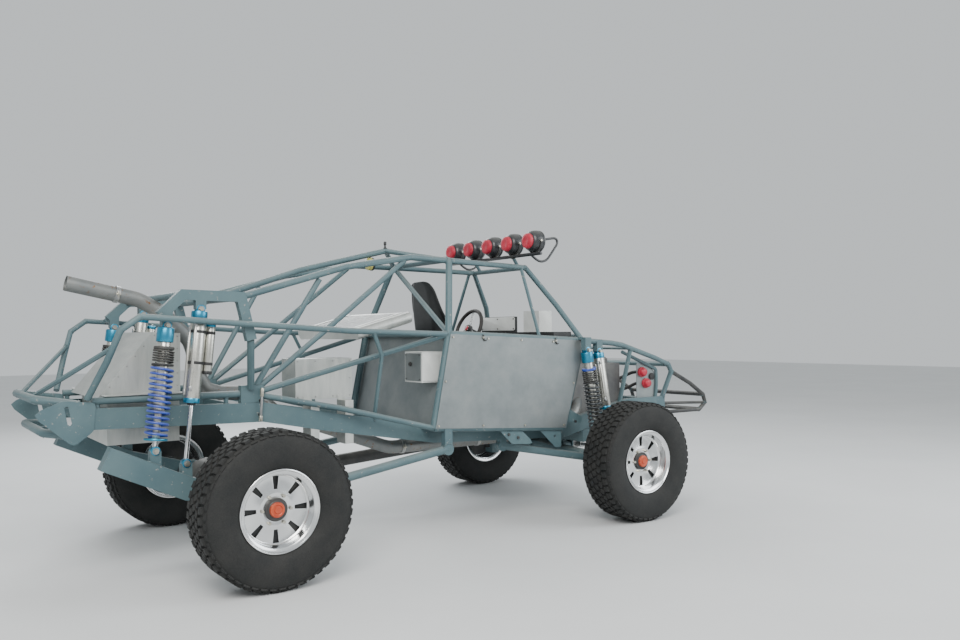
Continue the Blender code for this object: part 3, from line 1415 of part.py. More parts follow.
def build_engine_and_drive():
    joined("engine_block", [engine_box()], "engine_grey")
    start, end = gearbox_axis()
    along = (end - start).normalized()
    ahead = box((ENGINE_LENGTH, ENGINE_WIDTH, 2 * ENGINE_HEIGHT),
                (start.x - GAP + ENGINE_LENGTH / 2, 0.0, ENGINE_BASE))
    tail = end + along * GEARBOX_TAIL_LENGTH
    bell = start + along * GEARBOX_BELL_LENGTH
    joined("gearbox", [rod(start - along * OVERRUN, bell, GEARBOX_BELL_RADIUS, GEARBOX_BELL_END_RADIUS),
                       rod(bell - along * OVERRUN, end, GEARBOX_RADIUS), gearbox_tail()],
           "engine_grey", [ahead])
    nose = pinion_points()[1]
    cuts = [pinion_cone(GAP), gearbox_tail(GAP)]
    joined("driveshaft", [rod(nose, tail, SHAFT_RADIUS)], "dark_steel", cuts)


def exhaust_line():
    return [Vector((along * WHEELBASE, -across * HALF_TRACK, up * ROOF_HEIGHT))
            for along, across, up in EXHAUST_SHARES]


def build_exhaust():
    line = bend(exhaust_line(), EXHAUST_BEND)
    pipe = tube(line, 2 * EXHAUST_RADIUS)
    out = (line[-1] - line[-2]).normalized()
    bore = rod(line[-1] + out * OVERRUN, line[-1] - out * EXHAUST_BORE_DEPTH, EXHAUST_RADIUS - EXHAUST_WALL)
    joined("exhaust", [pipe], "exhaust_steel", [bore, engine_box(GAP)])


# Boxes behind the cab and over the tail

def build_fuel_cell():
    """The aluminium tank cover over the tail, with the tank hanging between the rails."""
    outline = flat_line(["cell_tail_foot", "cell_tail_top", "cell_fore_top", "cell_fore_foot"])
    half = spot("cell_tail_foot").y
    cover = plate(outline, 0.0, 2 * half)
    upper = spot("upper_tail").z + SIDE_TUBE / 2 + GAP
    fore_x = spot("cell_fore_foot").x
    tail_x = spot("cell_tail_foot").x + CELL_SETBACK
    flange = box((fore_x - tail_x, 2 * (spot("rail_tail").y + SIDE_TUBE / 2), SHEET_THICKNESS),
                 ((fore_x + tail_x) / 2, 0.0, upper + SHEET_THICKNESS / 2))
    tank_low = spot("cell_tank_low").z
    tank = box((fore_x - tail_x - CROSS_LENGTH / 2, 2 * spot("cell_tank_low").y, upper - tank_low),
               ((fore_x + tail_x + CROSS_LENGTH / 2) / 2, 0.0, (upper + tank_low) / 2))
    joined("fuel_cell", [cover, flange, tank], "aluminium_sheet", [cross_beam("rail_tail", 1, GAP)])


def build_radiator():
    """The leaning radiator behind the cab, on a bar between the belt tubes."""
    low = spot("radiator_low")
    high = spot("radiator_high")
    core = plate(offset_strip([flat(low), flat(high)], RADIATOR_DEPTH), 0.0, 2 * low.y)
    pieces = [core]
    for side in SIDE_NAMES:
        tank_y = side * (low.y + RADIATOR_DEPTH / 4)
        pieces.append(tube([Vector((low.x, tank_y, low.z)), Vector((high.x, tank_y, high.z))], RADIATOR_TANK,
                           0.0, GAP))
    share = RADIATOR_BAR_SHARE
    bar_x = low.x + (high.x - low.x) * share
    ends = []
    for side in SIDE_NAMES:
        rear_point = spot("belt_mid", side)
        fore_point = spot("hoop_belt", side)
        ends.append(rear_point.lerp(fore_point, (bar_x - rear_point.x) / (fore_point.x - rear_point.x)))
    pieces.append(tube(ends, SMALL_TUBE))
    cuts = [named_tube(["belt_mid", "hoop_belt"], side, BRACE_TUBE, 0.0, GAP) for side in SIDE_NAMES]
    joined("radiator", pieces, "pale_aluminium", cuts)


def build_electrics_box():
    """The white box on the back of the bulkhead."""
    foot = spot("hoop_foot")
    belt = spot("hoop_belt")
    low = foot.z + (belt.z - foot.z) * ELECTRICS_LOW_SHARE
    rear_face = foot.x + (belt.x - foot.x) * ELECTRICS_LOW_SHARE + MAIN_TUBE / 2 - ELECTRICS_LENGTH
    length = ELECTRICS_LENGTH + 2 * MAIN_TUBE
    whole = box((length, ELECTRICS_WIDTH, ELECTRICS_HEIGHT),
                (rear_face + length / 2, -ELECTRICS_Y, low + ELECTRICS_HEIGHT / 2))
    depth = 4 * MAIN_TUBE
    sheet_foot, sheet_top = bulkhead_line()
    rise = (sheet_top - sheet_foot).normalized()
    ahead = Vector((rise.y, -rise.x)) * (depth / 2 - SHEET_THICKNESS / 2 - GAP)
    room = plate(offset_strip([sheet_foot + ahead, sheet_top + ahead], depth), -ELECTRICS_Y, 2 * ELECTRICS_WIDTH)
    joined("electrics_box", [whole], "box_white", [room])


def bulkhead_line():
    """The middle line of the sheet behind the seat, on the front of the hoop."""
    ahead = Vector((MAIN_TUBE / 2 + GAP + SHEET_THICKNESS / 2, 0.0))
    return flat(spot("hoop_foot")) + ahead, flat(spot("hoop_belt")) + ahead


def bulkhead_sheet():
    return plate(offset_strip(bulkhead_line(), SHEET_THICKNESS), 0.0, 2 * sheet_half_width())


def build_battery_box():
    """The pale box ahead of the rear axle, on two brackets down to the right rail."""
    low = spot("battery_low", RIGHT)
    high = spot("battery_high", RIGHT)
    size = (high.x - low.x, abs(high.y - low.y), high.z - low.z)
    pieces = [box(size, (low + high) / 2)]
    rail_y = spot("rail_peak", RIGHT).y
    for share in BRACKET_SHARES:
        along = low.x + size[0] * share
        foot_z = spot("rail_low").z
        width = abs(rail_y - low.y) + RAIL_WIDTH / 2
        pieces.append(box((BRACKET_LENGTH, SHEET_THICKNESS, low.z - foot_z + OVERRUN),
                          (along, low.y - SHEET_THICKNESS / 2 + GAP, (low.z + OVERRUN + foot_z) / 2)))
        pieces.append(box((BRACKET_LENGTH, width, low.z - foot_z),
                          (along, low.y - width / 2 + SHEET_THICKNESS / 2, (low.z - OVERRUN + foot_z) / 2)))
    cuts = [*rail_pieces(RIGHT, GAP), *rear_tubes(RIGHT, GAP), knee_block(RIGHT, GAP)]
    joined("battery_box", pieces, "pale_aluminium", cuts)


# Cab fittings

def floor_height(along):
    """The floor's upper face at a place along the vehicle."""
    low = spot("rail_low")
    fore = spot("rail_front")
    slope = (fore.z - low.z) / (fore.x - low.x)
    rise = (RAIL_HEIGHT / 2 + GAP + FLOOR_THICKNESS) * math.sqrt(1 + slope * slope)
    return low.z + slope * (along - low.x) + rise


def seat_back_outline():
    """The seat back seen from the front, broad at the shoulders and round at the top."""
    height = SEAT_BACK_HEIGHT / math.cos(SEAT_LEAN)
    half = [Vector((across * SEAT_WIDTH / 2, up * height)) for across, up in SEAT_BACK_SHARES]
    mirrored = [Vector((-point.x, point.y)) for point in reversed(half)]
    return bend(half + mirrored, SEAT_ROUND)


def build_seat():
    """A high-backed bucket seat for the driver, on a low base."""
    rear_x = SEAT_X_SHARE * WHEELBASE
    base = floor_height(rear_x) + SEAT_BASE_HEIGHT
    lean = SEAT_BACK_HEIGHT * math.tan(SEAT_LEAN)
    back_foot = Vector((rear_x + lean, base))
    back_top = Vector((rear_x, base + SEAT_BACK_HEIGHT))
    cushion_front = back_foot + Vector((SEAT_DEPTH, SEAT_RISE))
    pieces = [
        plate(offset_strip([back_foot, cushion_front], SEAT_SHELL), SEAT_Y, SEAT_WIDTH - SEAT_SHELL),
        facing_plate(seat_back_outline(), (back_foot.x, SEAT_Y, back_foot.y), SEAT_LEAN, SEAT_SHELL),
    ]
    wing = [back_foot, back_foot.lerp(back_top, WING_TOP_SHARE), back_foot.lerp(back_top, WING_MID_SHARE),
            back_foot + Vector((SEAT_BOLSTER, SEAT_BOLSTER)), cushion_front + Vector((0.0, SEAT_BOLSTER / 2)),
            cushion_front]
    wing[2] = wing[2] + Vector((SEAT_BOLSTER, 0.0))
    for side in SIDE_NAMES:
        wing_y = SEAT_Y + side * ((SEAT_WIDTH - SEAT_SHELL) / 2 - WING_INSET)
        pieces.append(plate(rounded(wing, SEAT_ROUND), wing_y, SEAT_SHELL))
    foot_low = base - SEAT_BASE_HEIGHT - SEAT_FOOT_DROP
    foot_high = base + SEAT_RISE
    pieces.append(box((SEAT_DEPTH * SEAT_FOOT_SHARE, SEAT_WIDTH * SEAT_FOOT_SHARE, foot_high - foot_low),
                      (back_foot.x + SEAT_DEPTH / 2, SEAT_Y, (foot_high + foot_low) / 2)))
    floor_rear, floor_front = floor_line()
    down = Vector((0.0, RAIL_HEIGHT / 2))
    ground = plate(offset_strip([floor_rear - down, floor_front - down], RAIL_HEIGHT + FLOOR_THICKNESS + 2 * GAP),
                   0.0, 2 * sheet_half_width())
    joined("seat", pieces, "seat_black", [ground])


def dash_centre():
    cowl = spot("pillar_foot")
    return Vector((cowl.x - SIDE_TUBE / 2 - GAP - DASH_DEPTH / 2 - DASH_SETBACK, 0.0, cowl.z + DASH_LIFT))


def build_dash():
    """The dash shelf hung on the cowl bar, with the instrument panel and the switch box standing on it."""
    centre = dash_centre()
    width = 2 * (spot("pillar_foot").y - MAIN_TUBE)
    shelf = box((DASH_DEPTH, width, DASH_HEIGHT), centre)
    top = centre.z + DASH_HEIGHT / 2
    panel = box((DASH_PANEL_DEPTH, DASH_PANEL_WIDTH, DASH_PANEL_HEIGHT),
                (centre.x - DASH_DEPTH / 4, DASH_PANEL_Y, top + DASH_PANEL_HEIGHT / 2 - GAP))
    cube = box((SWITCH_DEPTH, SWITCH_WIDTH, SWITCH_HEIGHT),
               (centre.x, -SWITCH_Y, top + SWITCH_HEIGHT / 2 - GAP))
    bar = cowl_bar_end(LEFT)
    flange_end = bar.x - BRACE_TUBE / 2 - SHEET_THICKNESS
    flange = box((flange_end - centre.x, width, SHEET_THICKNESS),
                 ((flange_end + centre.x) / 2, 0.0, bar.z - 2 * SHEET_THICKNESS))
    column_end = column_points()[0]
    column = rod(column_end, column_end + column_along() * (COLUMN_LENGTH + DASH_DEPTH / 2), COLUMN_RADIUS)
    joined("dash", [shelf, panel, cube, flange, column], "plastic_black", [ahead_of_firewall()])


def column_along():
    """The steering column's direction, forward and down."""
    return Vector((math.cos(STEERING_WHEEL_TILT), 0.0, -math.sin(STEERING_WHEEL_TILT)))


def column_points():
    """The column's end under the wheel, and the wheel's own centre."""
    centre = dash_centre()
    end = Vector((centre.x - DASH_DEPTH / 2, SEAT_Y, centre.z)) - column_along() * COLUMN_LENGTH
    return end, end - column_along() * (COLUMN_GAP + WHEEL_HUB_LENGTH / 2)


def build_steering_wheel():
    centre = column_points()[1]
    along = column_along()
    turn = along.to_track_quat("Z", "Y").to_matrix().to_4x4()
    profile = []
    for step in range(WHEEL_TUBE_STEPS):
        angle = -2 * math.pi * step / WHEEL_TUBE_STEPS
        profile.append((STEERING_WHEEL_RADIUS + STEERING_WHEEL_TUBE * math.cos(angle),
                        STEERING_WHEEL_TUBE * math.sin(angle)))
    rim = turned("rim", profile, WHEEL_RING_STEPS, closed=True)
    rim.matrix_world = Matrix.Translation(centre) @ turn
    pieces = [rim, rod(centre - along * WHEEL_HUB_LENGTH / 2, centre + along * WHEEL_HUB_LENGTH / 2, WHEEL_HUB_RADIUS)]
    for spoke in range(WHEEL_SPOKES):
        angle = 2 * math.pi * spoke / WHEEL_SPOKES + math.pi / 2
        reach = turn @ Vector((math.cos(angle), math.sin(angle), 0.0)) * STEERING_WHEEL_RADIUS
        pieces.append(rod(centre, centre + reach, STEERING_WHEEL_TUBE / 2, sides=PIPE_SIDES))
    joined("steering_wheel", pieces, "plastic_black", origin=centre)


# Lamps

def lamp(centre):
    """A round lamp: rim, bowl and the cap on its back, turned about the line it shines along."""
    profile = [(across * LAMP_RADIUS, along * LAMP_DEPTH) for across, along in LAMP_SHARES]
    made = turned("lamp", profile, SHAFT_SIDES, closed=False)
    made.matrix_world = Matrix.Translation(centre) @ Matrix.Rotation(math.radians(90.0), 4, "Y")
    return made


def build_light_bar():
    """Five round lamps on a bar over the windscreen, with its loops and feet."""
    front_bar = spot("roof_front")
    bar_x = front_bar.x + LAMP_BAR_AHEAD
    bar_z = front_bar.z + LAMP_BAR_LIFT
    half = LAMP_PITCH * (LAMP_COUNT - 1) / 2 + LAMP_RADIUS
    pieces = [tube([Vector((bar_x, -half, bar_z)), Vector((bar_x, half, bar_z))], SMALL_TUBE)]
    lamp_z = bar_z + LAMP_STEM + LAMP_RADIUS
    for index in range(LAMP_COUNT):
        centre = Vector((bar_x, (index - (LAMP_COUNT - 1) / 2) * LAMP_PITCH, lamp_z))
        pieces.append(lamp(centre))
        pieces.append(rod((bar_x, centre.y, bar_z), centre, LAMP_STEM_RADIUS, sides=PIPE_SIDES))
    for side in SIDE_NAMES:
        foot_y = side * front_bar.y * LAMP_FOOT_SHARE
        pieces.append(tube([Vector((front_bar.x, foot_y, front_bar.z)), Vector((bar_x, foot_y, bar_z))], SMALL_TUBE))
        loop = [Vector((bar_x + along, side * LOOP_Y, bar_z + up)) for along, up in LOOP_POINTS]
        pieces.append(tube(loop, SMALL_TUBE * LOOP_SHARE))
    joined("light_bar", pieces, "lamp_black", cab_tubes(GAP))


def build_tail_lamp():
    """The amber lamp under the spine's crest and the short aerial on it."""
    middle = spot("spine_mid")
    crest = spot("spine_crest")
    along = (crest - middle).normalized()
    seat = middle.lerp(crest, TAIL_LAMP_SHARE)
    drop = Vector((along.z, 0.0, -along.x)).normalized()
    centre = seat + drop * (SIDE_TUBE / 2 + TAIL_LAMP_RADIUS)
    pieces = [
        rod(centre - Vector((TAIL_LAMP_DEPTH / 2, 0.0, 0.0)), centre + Vector((TAIL_LAMP_DEPTH / 2, 0.0, 0.0)),
            TAIL_LAMP_RADIUS),
        rod(centre, seat, TAIL_LAMP_STEM, sides=PIPE_SIDES),
    ]
    joined("tail_lamp", pieces, "lamp_black", spine_tubes(GAP))


def centre_vehicle():
    """Moves the whole vehicle so that its origin is the middle of its box."""
    bpy.context.view_layer.update()
    ends = [(thing.matrix_world @ vertex.co).x for thing in parts.objects if thing.type == "MESH"
            for vertex in thing.data.vertices]
    vehicle.location.x = -(min(ends) + max(ends)) / 2


build_ladder_frame()
build_main_hoop()
build_side_frames()
build_cab_frame()
build_rear_cage()
build_shock_towers()
build_rear_bumper()
build_nose_frame()
build_front_bumper()
build_door_panels()
build_cab_sheets()
build_wheels()
build_rear_axle()
build_trailing_arms()
build_shocks()
build_front_crossmember()
build_front_beams()
build_knuckles()
build_steering_rack()
build_tie_rods()
build_engine_and_drive()
build_exhaust()
build_fuel_cell()
build_radiator()
build_electrics_box()
build_battery_box()
build_seat()
build_dash()
build_steering_wheel()
build_light_bar()
build_tail_lamp()
centre_vehicle()
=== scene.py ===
# %% [markdown]
# # A desert racer with a bare tube frame
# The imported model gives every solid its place. This script keeps those places and makes the looks:
# tyre tread, wound springs, lamps, seat pads, bolts and a finish for each surface. Read it from top to
# bottom as a lesson: a cell of words says what a piece is, and the cell after it makes the piece.

# %% Load the frame
import json
import math

import bmesh
import bpy
from mathutils import Matrix, Vector
from mathutils.bvhtree import BVHTree


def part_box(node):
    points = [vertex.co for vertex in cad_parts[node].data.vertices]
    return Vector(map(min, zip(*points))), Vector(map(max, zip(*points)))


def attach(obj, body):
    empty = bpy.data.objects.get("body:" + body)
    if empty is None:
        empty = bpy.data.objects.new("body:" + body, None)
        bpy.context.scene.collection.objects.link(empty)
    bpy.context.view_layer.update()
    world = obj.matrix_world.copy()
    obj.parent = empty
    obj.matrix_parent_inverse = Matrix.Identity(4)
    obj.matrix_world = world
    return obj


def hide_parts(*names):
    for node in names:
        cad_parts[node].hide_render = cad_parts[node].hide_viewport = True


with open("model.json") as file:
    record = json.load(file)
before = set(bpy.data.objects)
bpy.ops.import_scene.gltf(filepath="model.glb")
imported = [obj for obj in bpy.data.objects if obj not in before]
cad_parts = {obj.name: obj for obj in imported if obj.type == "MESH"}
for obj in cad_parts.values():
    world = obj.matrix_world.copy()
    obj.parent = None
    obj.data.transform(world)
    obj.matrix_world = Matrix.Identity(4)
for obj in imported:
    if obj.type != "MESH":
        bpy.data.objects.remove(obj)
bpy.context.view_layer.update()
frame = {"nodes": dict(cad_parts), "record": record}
rear_low, rear_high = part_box("tyre_rear_right")
front_low, front_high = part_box("tyre_front_right")
TYRE_RADIUS = (rear_high.z - rear_low.z) / 2
TYRE_WIDTH = rear_high.y - rear_low.y
AXLE_X = {"rear": (rear_low.x + rear_high.x) / 2, "front": (front_low.x + front_high.x) / 2}
HALF_TRACK = -(rear_low.y + rear_high.y) / 2
SIDES = {"right": -1, "left": 1}


def at(along, across, up):
    """A place measured forward from the rear axle, left of the middle and up from the ground."""
    return Vector((AXLE_X["rear"] + along, across, up))


print("frame: %d nodes, tyre radius %.4f m, half track %.3f m" % (len(frame["nodes"]), TYRE_RADIUS, HALF_TRACK))

# %% [markdown]
# The camera stands low beside the rear wheel and looks forward along the racer's right side. Its place,
# turn and focal length were worked out from the wheels' circles, so the model lies as it does in life.

# %% Camera
CAMERA_PLACE = Vector((-3.4774, -5.6039, 1.4124))
CAMERA_YAW = 0.62177
CAMERA_PITCH = 0.01604
CAMERA_ROLL = -0.00820
CAMERA_LENS = 31.926

ahead = Vector((math.cos(CAMERA_PITCH) * math.sin(CAMERA_YAW), math.cos(CAMERA_PITCH) * math.cos(CAMERA_YAW),
                math.sin(CAMERA_PITCH)))
level = Vector((math.cos(CAMERA_YAW), -math.sin(CAMERA_YAW), 0.0))
upright = level.cross(ahead)
right_way = math.cos(CAMERA_ROLL) * level + math.sin(CAMERA_ROLL) * upright
up_way = -math.sin(CAMERA_ROLL) * level + math.cos(CAMERA_ROLL) * upright
camera_data = bpy.data.cameras.new("camera")
camera_data.lens = CAMERA_LENS
camera_data.sensor_width = 36.0
camera = bpy.data.objects.new("camera", camera_data)
turn = Matrix((right_way, up_way, -ahead)).transposed().to_4x4()
camera.matrix_world = Matrix.Translation(CAMERA_PLACE) @ turn
bpy.context.scene.collection.objects.link(camera)
bpy.context.scene.camera = camera

# %% [markdown]
# A pale floor and three large soft lights show the form plainly. The world adds a little even light, so
# the space between the tubes doesn't go black.

# %% Floor and lights
FLOOR_SIZE = 60.0
floor_mesh = bpy.data.meshes.new("studio_floor")
half_floor = FLOOR_SIZE / 2
floor_mesh.from_pydata([(-half_floor, -half_floor, 0), (half_floor, -half_floor, 0), (half_floor, half_floor, 0),
                        (-half_floor, half_floor, 0)], [], [(0, 1, 2, 3)])
studio_floor = bpy.data.objects.new("studio_floor", floor_mesh)
bpy.context.scene.collection.objects.link(studio_floor)


def soft_light(name, place, aim, size, power, colour):
    """One large area light that looks at a point."""
    data = bpy.data.lights.new(name, "AREA")
    data.shape = "SQUARE"
    data.size = size
    data.energy = power
    data.color = colour
    lamp = bpy.data.objects.new(name, data)
    lamp.location = place
    lamp.rotation_euler = (Vector(aim) - Vector(place)).to_track_quat("-Z", "Y").to_euler()
    bpy.context.scene.collection.objects.link(lamp)


soft_light("key_light", (-4.5, -6.0, 6.5), (0.0, 0.0, 0.8), 5.0, 760.0, (1.0, 0.98, 0.95))
soft_light("fill_light", (5.5, -5.5, 4.0), (0.5, 0.0, 0.8), 5.0, 340.0, (0.93, 0.97, 1.0))
soft_light("back_light", (1.0, 6.5, 5.5), (0.0, 0.0, 1.0), 5.0, 420.0, (0.95, 0.98, 1.0))
world = bpy.data.worlds.new("studio")
world.use_nodes = True
world.node_tree.nodes["Background"].inputs["Color"].default_value = (0.86, 0.90, 0.92, 1.0)
world.node_tree.nodes["Background"].inputs["Strength"].default_value = 0.80
bpy.context.scene.world = world

# %% [markdown]
# ## Finishes
# A used racer has no single flat colour. Each finish starts from two close tones that a soft noise mixes,
# and a finer noise drives the gloss and the bump. Dust lies on what faces up, and chips show bare steel.
# Every pattern reads Object coordinates in metres, so it has the same scale on each piece.

# %% Material helpers


def link(tree, source, target):
    tree.links.new(source, target)


def noise(tree, scale, detail=4.0, roughness=0.55, stretch=(1.0, 1.0, 1.0)):
    """A noise in Object coordinates; stretch makes it longer along an axis."""
    where = tree.nodes.new("ShaderNodeTexCoord")
    mapping = tree.nodes.new("ShaderNodeMapping")
    mapping.inputs["Scale"].default_value = stretch
    made = tree.nodes.new("ShaderNodeTexNoise")
    made.inputs["Scale"].default_value = scale
    made.inputs["Detail"].default_value = detail
    made.inputs["Roughness"].default_value = roughness
    link(tree, where.outputs["Object"], mapping.inputs["Vector"])
    link(tree, mapping.outputs["Vector"], made.inputs["Vector"])
    return made.outputs["Fac"]


def between(tree, value, low, high, out_low=0.0, out_high=1.0):
    """Maps the range low to high of a value onto another range."""
    made = tree.nodes.new("ShaderNodeMapRange")
    made.inputs["From Min"].default_value = low
    made.inputs["From Max"].default_value = high
    made.inputs["To Min"].default_value = out_low
    made.inputs["To Max"].default_value = out_high
    link(tree, value, made.inputs["Value"])
    return made.outputs["Result"]


def mixed(tree, factor, first, second):
    """Mixes two colours. Each is a socket or three numbers."""
    made = tree.nodes.new("ShaderNodeMix")
    made.data_type = "RGBA"
    link(tree, factor, made.inputs["Factor"])
    for socket, value in ((made.inputs[6], first), (made.inputs[7], second)):
        if isinstance(value, tuple):
            socket.default_value = (*value, 1.0)
        else:
            link(tree, value, socket)
    return made.outputs[2]


def times(tree, value, factor):
    made = tree.nodes.new("ShaderNodeMath")
    made.operation = "MULTIPLY"
    link(tree, value, made.inputs[0])
    if isinstance(factor, float):
        made.inputs[1].default_value = factor
    else:
        link(tree, factor, made.inputs[1])
    return made.outputs["Value"]


def upward(tree, low=0.35, high=0.95):
    """How far a surface faces up, for dust."""
    geometry = tree.nodes.new("ShaderNodeNewGeometry")
    parts_of = tree.nodes.new("ShaderNodeSeparateXYZ")
    link(tree, geometry.outputs["Normal"], parts_of.inputs["Vector"])
    return between(tree, parts_of.outputs["Z"], low, high)


def bumped(tree, shader, height, strength, distance):
    made = tree.nodes.new("ShaderNodeBump")
    made.inputs["Strength"].default_value = strength
    made.inputs["Distance"].default_value = distance
    link(tree, height, made.inputs["Height"])
    link(tree, made.outputs["Normal"], shader.inputs["Normal"])


def finish(name, tones, gloss, metallic=0.0, blotch=2.5, grain=220.0, bump=(0.15, 0.0006), dust=0.0,
           dust_colour=(0.34, 0.33, 0.29), chips=0.0, chip_colour=(0.30, 0.29, 0.27), stretch=(1.0, 1.0, 1.0),
           coat=0.0):
    """Two tones, a gloss range, grain and bump, with dust and chips where they are asked for."""
    made = bpy.data.materials.new(name)
    made.use_nodes = True
    tree = made.node_tree
    shader = tree.nodes["Principled BSDF"]
    shader.inputs["Metallic"].default_value = metallic
    if coat:
        shader.inputs["Coat Weight"].default_value = coat
        shader.inputs["Coat Roughness"].default_value = 0.25
    soft = between(tree, noise(tree, blotch, 5.0, 0.6, stretch), 0.35, 0.65)
    fine = noise(tree, grain, 3.0, 0.6, stretch)
    colour = mixed(tree, soft, tones[0], tones[1])
    roughness = between(tree, fine, 0.3, 0.7, gloss[0], gloss[1])
    if chips:
        spots = noise(tree, 38.0, 6.0, 0.7)
        mask = between(tree, spots, 0.70 - 0.06 * chips, 0.715 - 0.06 * chips)
        colour = mixed(tree, mask, colour, chip_colour)
    if dust:
        cover = times(tree, times(tree, upward(tree), noise(tree, 14.0, 6.0, 0.7)), dust)
        colour = mixed(tree, cover, colour, dust_colour)
    link(tree, colour, shader.inputs["Base Color"])
    link(tree, roughness, shader.inputs["Roughness"])
    bumped(tree, shader, fine, bump[0], bump[1])
    return made


# %% [markdown]
# The tubes have one dull blue-grey coat, brushed on thickly and gone chalky outdoors. Small chips show the primer, and
# dust lies along the upper sides. The sheet metal is bare: mill-finish aluminium on the doors, dull and cloudy from
# handling, and a paler, finer-brushed sheet for the battery box, radiator and cell.

# %% Paint and sheet metal
frame_paint = finish("frame_paint", ((0.066, 0.120, 0.138), (0.094, 0.154, 0.168)), (0.42, 0.62), blotch=3.2,
                     grain=160.0, bump=(0.22, 0.0008), dust=0.55, chips=1.0)
door_sheet = finish("door_sheet", ((0.205, 0.232, 0.238), (0.268, 0.292, 0.292)), (0.44, 0.58), metallic=0.70,
                    blotch=5.0, grain=240.0, bump=(0.10, 0.0005), dust=0.2)
pale_sheet = finish("pale_sheet", ((0.50, 0.52, 0.50), (0.62, 0.63, 0.60)), (0.34, 0.50), metallic=0.80,
                    blotch=4.0, grain=260.0, bump=(0.10, 0.0005), stretch=(6.0, 1.0, 1.0), dust=0.25)
bare_steel = finish("bare_steel", ((0.38, 0.39, 0.39), (0.48, 0.48, 0.47)), (0.28, 0.44), metallic=0.95,
                    blotch=9.0, grain=300.0, bump=(0.08, 0.0004), dust=0.2)
dark_steel = finish("dark_steel", ((0.045, 0.047, 0.050), (0.085, 0.084, 0.080)), (0.45, 0.68), metallic=0.6,
                    blotch=7.0, grain=150.0, bump=(0.25, 0.0010), dust=0.5)
zinc_bolt = finish("zinc_bolt", ((0.46, 0.45, 0.40), (0.56, 0.53, 0.44)), (0.30, 0.45), metallic=0.95,
                   blotch=40.0, grain=500.0, bump=(0.05, 0.0003))
cast_metal = finish("cast_metal", ((0.135, 0.137, 0.140), (0.205, 0.203, 0.195)), (0.50, 0.72), metallic=0.7,
                    blotch=6.0, grain=120.0, bump=(0.45, 0.0016), dust=0.45)
exhaust_skin = finish("exhaust_skin", ((0.190, 0.205, 0.208), (0.272, 0.275, 0.262)), (0.42, 0.62), metallic=0.75,
                      blotch=4.5, grain=140.0, bump=(0.20, 0.0008), dust=0.35, chip_colour=(0.22, 0.12, 0.06),
                      chips=1.4)

# %% [markdown]
# Springs and shock ends carry the racer's strongest colours: powder-coated deep blue wire, and caps that
# are anodised a lighter cyan-blue. The shock bodies are plated, the rods are ground bright.

# %% Suspension finishes
spring_coat = finish("spring_coat", ((0.020, 0.050, 0.300), (0.030, 0.075, 0.400)), (0.30, 0.45), blotch=12.0,
                     grain=320.0, bump=(0.12, 0.0005), dust=0.35, coat=0.3)
spring_grey = finish("spring_grey", ((0.030, 0.035, 0.041), (0.056, 0.062, 0.070)), (0.28, 0.42), metallic=0.45,
                     blotch=12.0, grain=320.0, bump=(0.12, 0.0005), dust=0.3)
blue_anodise = finish("blue_anodise", ((0.030, 0.230, 0.380), (0.050, 0.310, 0.470)), (0.26, 0.40), metallic=0.85,
                      blotch=16.0, grain=420.0, bump=(0.05, 0.0003), dust=0.2)
plated_body = finish("plated_body", ((0.50, 0.50, 0.46), (0.62, 0.61, 0.56)), (0.24, 0.38), metallic=0.95,
                     blotch=10.0, grain=380.0, bump=(0.05, 0.0003), stretch=(1.0, 1.0, 0.2), dust=0.2)
ground_rod = finish("ground_rod", ((0.70, 0.71, 0.72), (0.76, 0.77, 0.78)), (0.10, 0.18), metallic=1.0,
                    blotch=20.0, grain=600.0, bump=(0.03, 0.0002))

# %% [markdown]
# Rubber is black only when new. These tyres are dark grey with sand in the grooves. The wheels are machined aluminium:
# a bright face with a fine turned grain.

# %% Wheel finishes
tyre_rubber = finish("tyre_rubber", ((0.009, 0.010, 0.010), (0.017, 0.017, 0.016)), (0.68, 0.88), blotch=9.0,
                     grain=170.0, bump=(0.35, 0.0012), dust=0.16, dust_colour=(0.09, 0.085, 0.07))


def turned_metal(name, tones, gloss):
    """Machined metal, bright and a little directional in its gloss."""
    made = finish(name, tones, gloss, metallic=1.0, blotch=7.0, grain=420.0, bump=(0.03, 0.0002), dust=0.12)
    tree = made.node_tree
    shader = tree.nodes["Principled BSDF"]
    shader.inputs["Anisotropic"].default_value = 0.35
    return made


polished_wheel = turned_metal("polished_wheel", ((0.70, 0.71, 0.72), (0.79, 0.80, 0.80)), (0.16, 0.28))
hub_red = finish("hub_red", ((0.46, 0.055, 0.022), (0.58, 0.100, 0.035)), (0.32, 0.48), metallic=0.35, blotch=22.0,
                 grain=400.0, bump=(0.08, 0.0004), dust=0.25, coat=0.3)

# %% [markdown]
# Small parts each have their own plastic, cloth or glass. The lamp covers are red moulded plastic with a
# soft gloss, the seat is a black shell with woven pads, and the fuse box is plain white plastic.

# %% Plastics, glass and cloth
black_plastic = finish("black_plastic", ((0.016, 0.017, 0.018), (0.028, 0.029, 0.030)), (0.45, 0.62), blotch=12.0,
                       grain=420.0, bump=(0.18, 0.0005), dust=0.25)
lamp_shell = finish("lamp_shell", ((0.014, 0.016, 0.018), (0.024, 0.026, 0.030)), (0.30, 0.46), blotch=14.0,
                    grain=360.0, bump=(0.10, 0.0004), dust=0.35, coat=0.3)
red_cover = finish("red_cover", ((0.38, 0.014, 0.034), (0.50, 0.026, 0.052)), (0.34, 0.50), blotch=14.0,
                   grain=300.0, bump=(0.10, 0.0004), dust=0.15)
white_box = finish("white_box", ((0.60, 0.62, 0.60), (0.70, 0.72, 0.70)), (0.40, 0.55), blotch=8.0, grain=300.0,
                   bump=(0.08, 0.0004), dust=0.25)
seat_shell = finish("seat_shell", ((0.012, 0.013, 0.014), (0.024, 0.025, 0.026)), (0.35, 0.50), blotch=9.0,
                    grain=300.0, bump=(0.12, 0.0005), dust=0.3, coat=0.2)
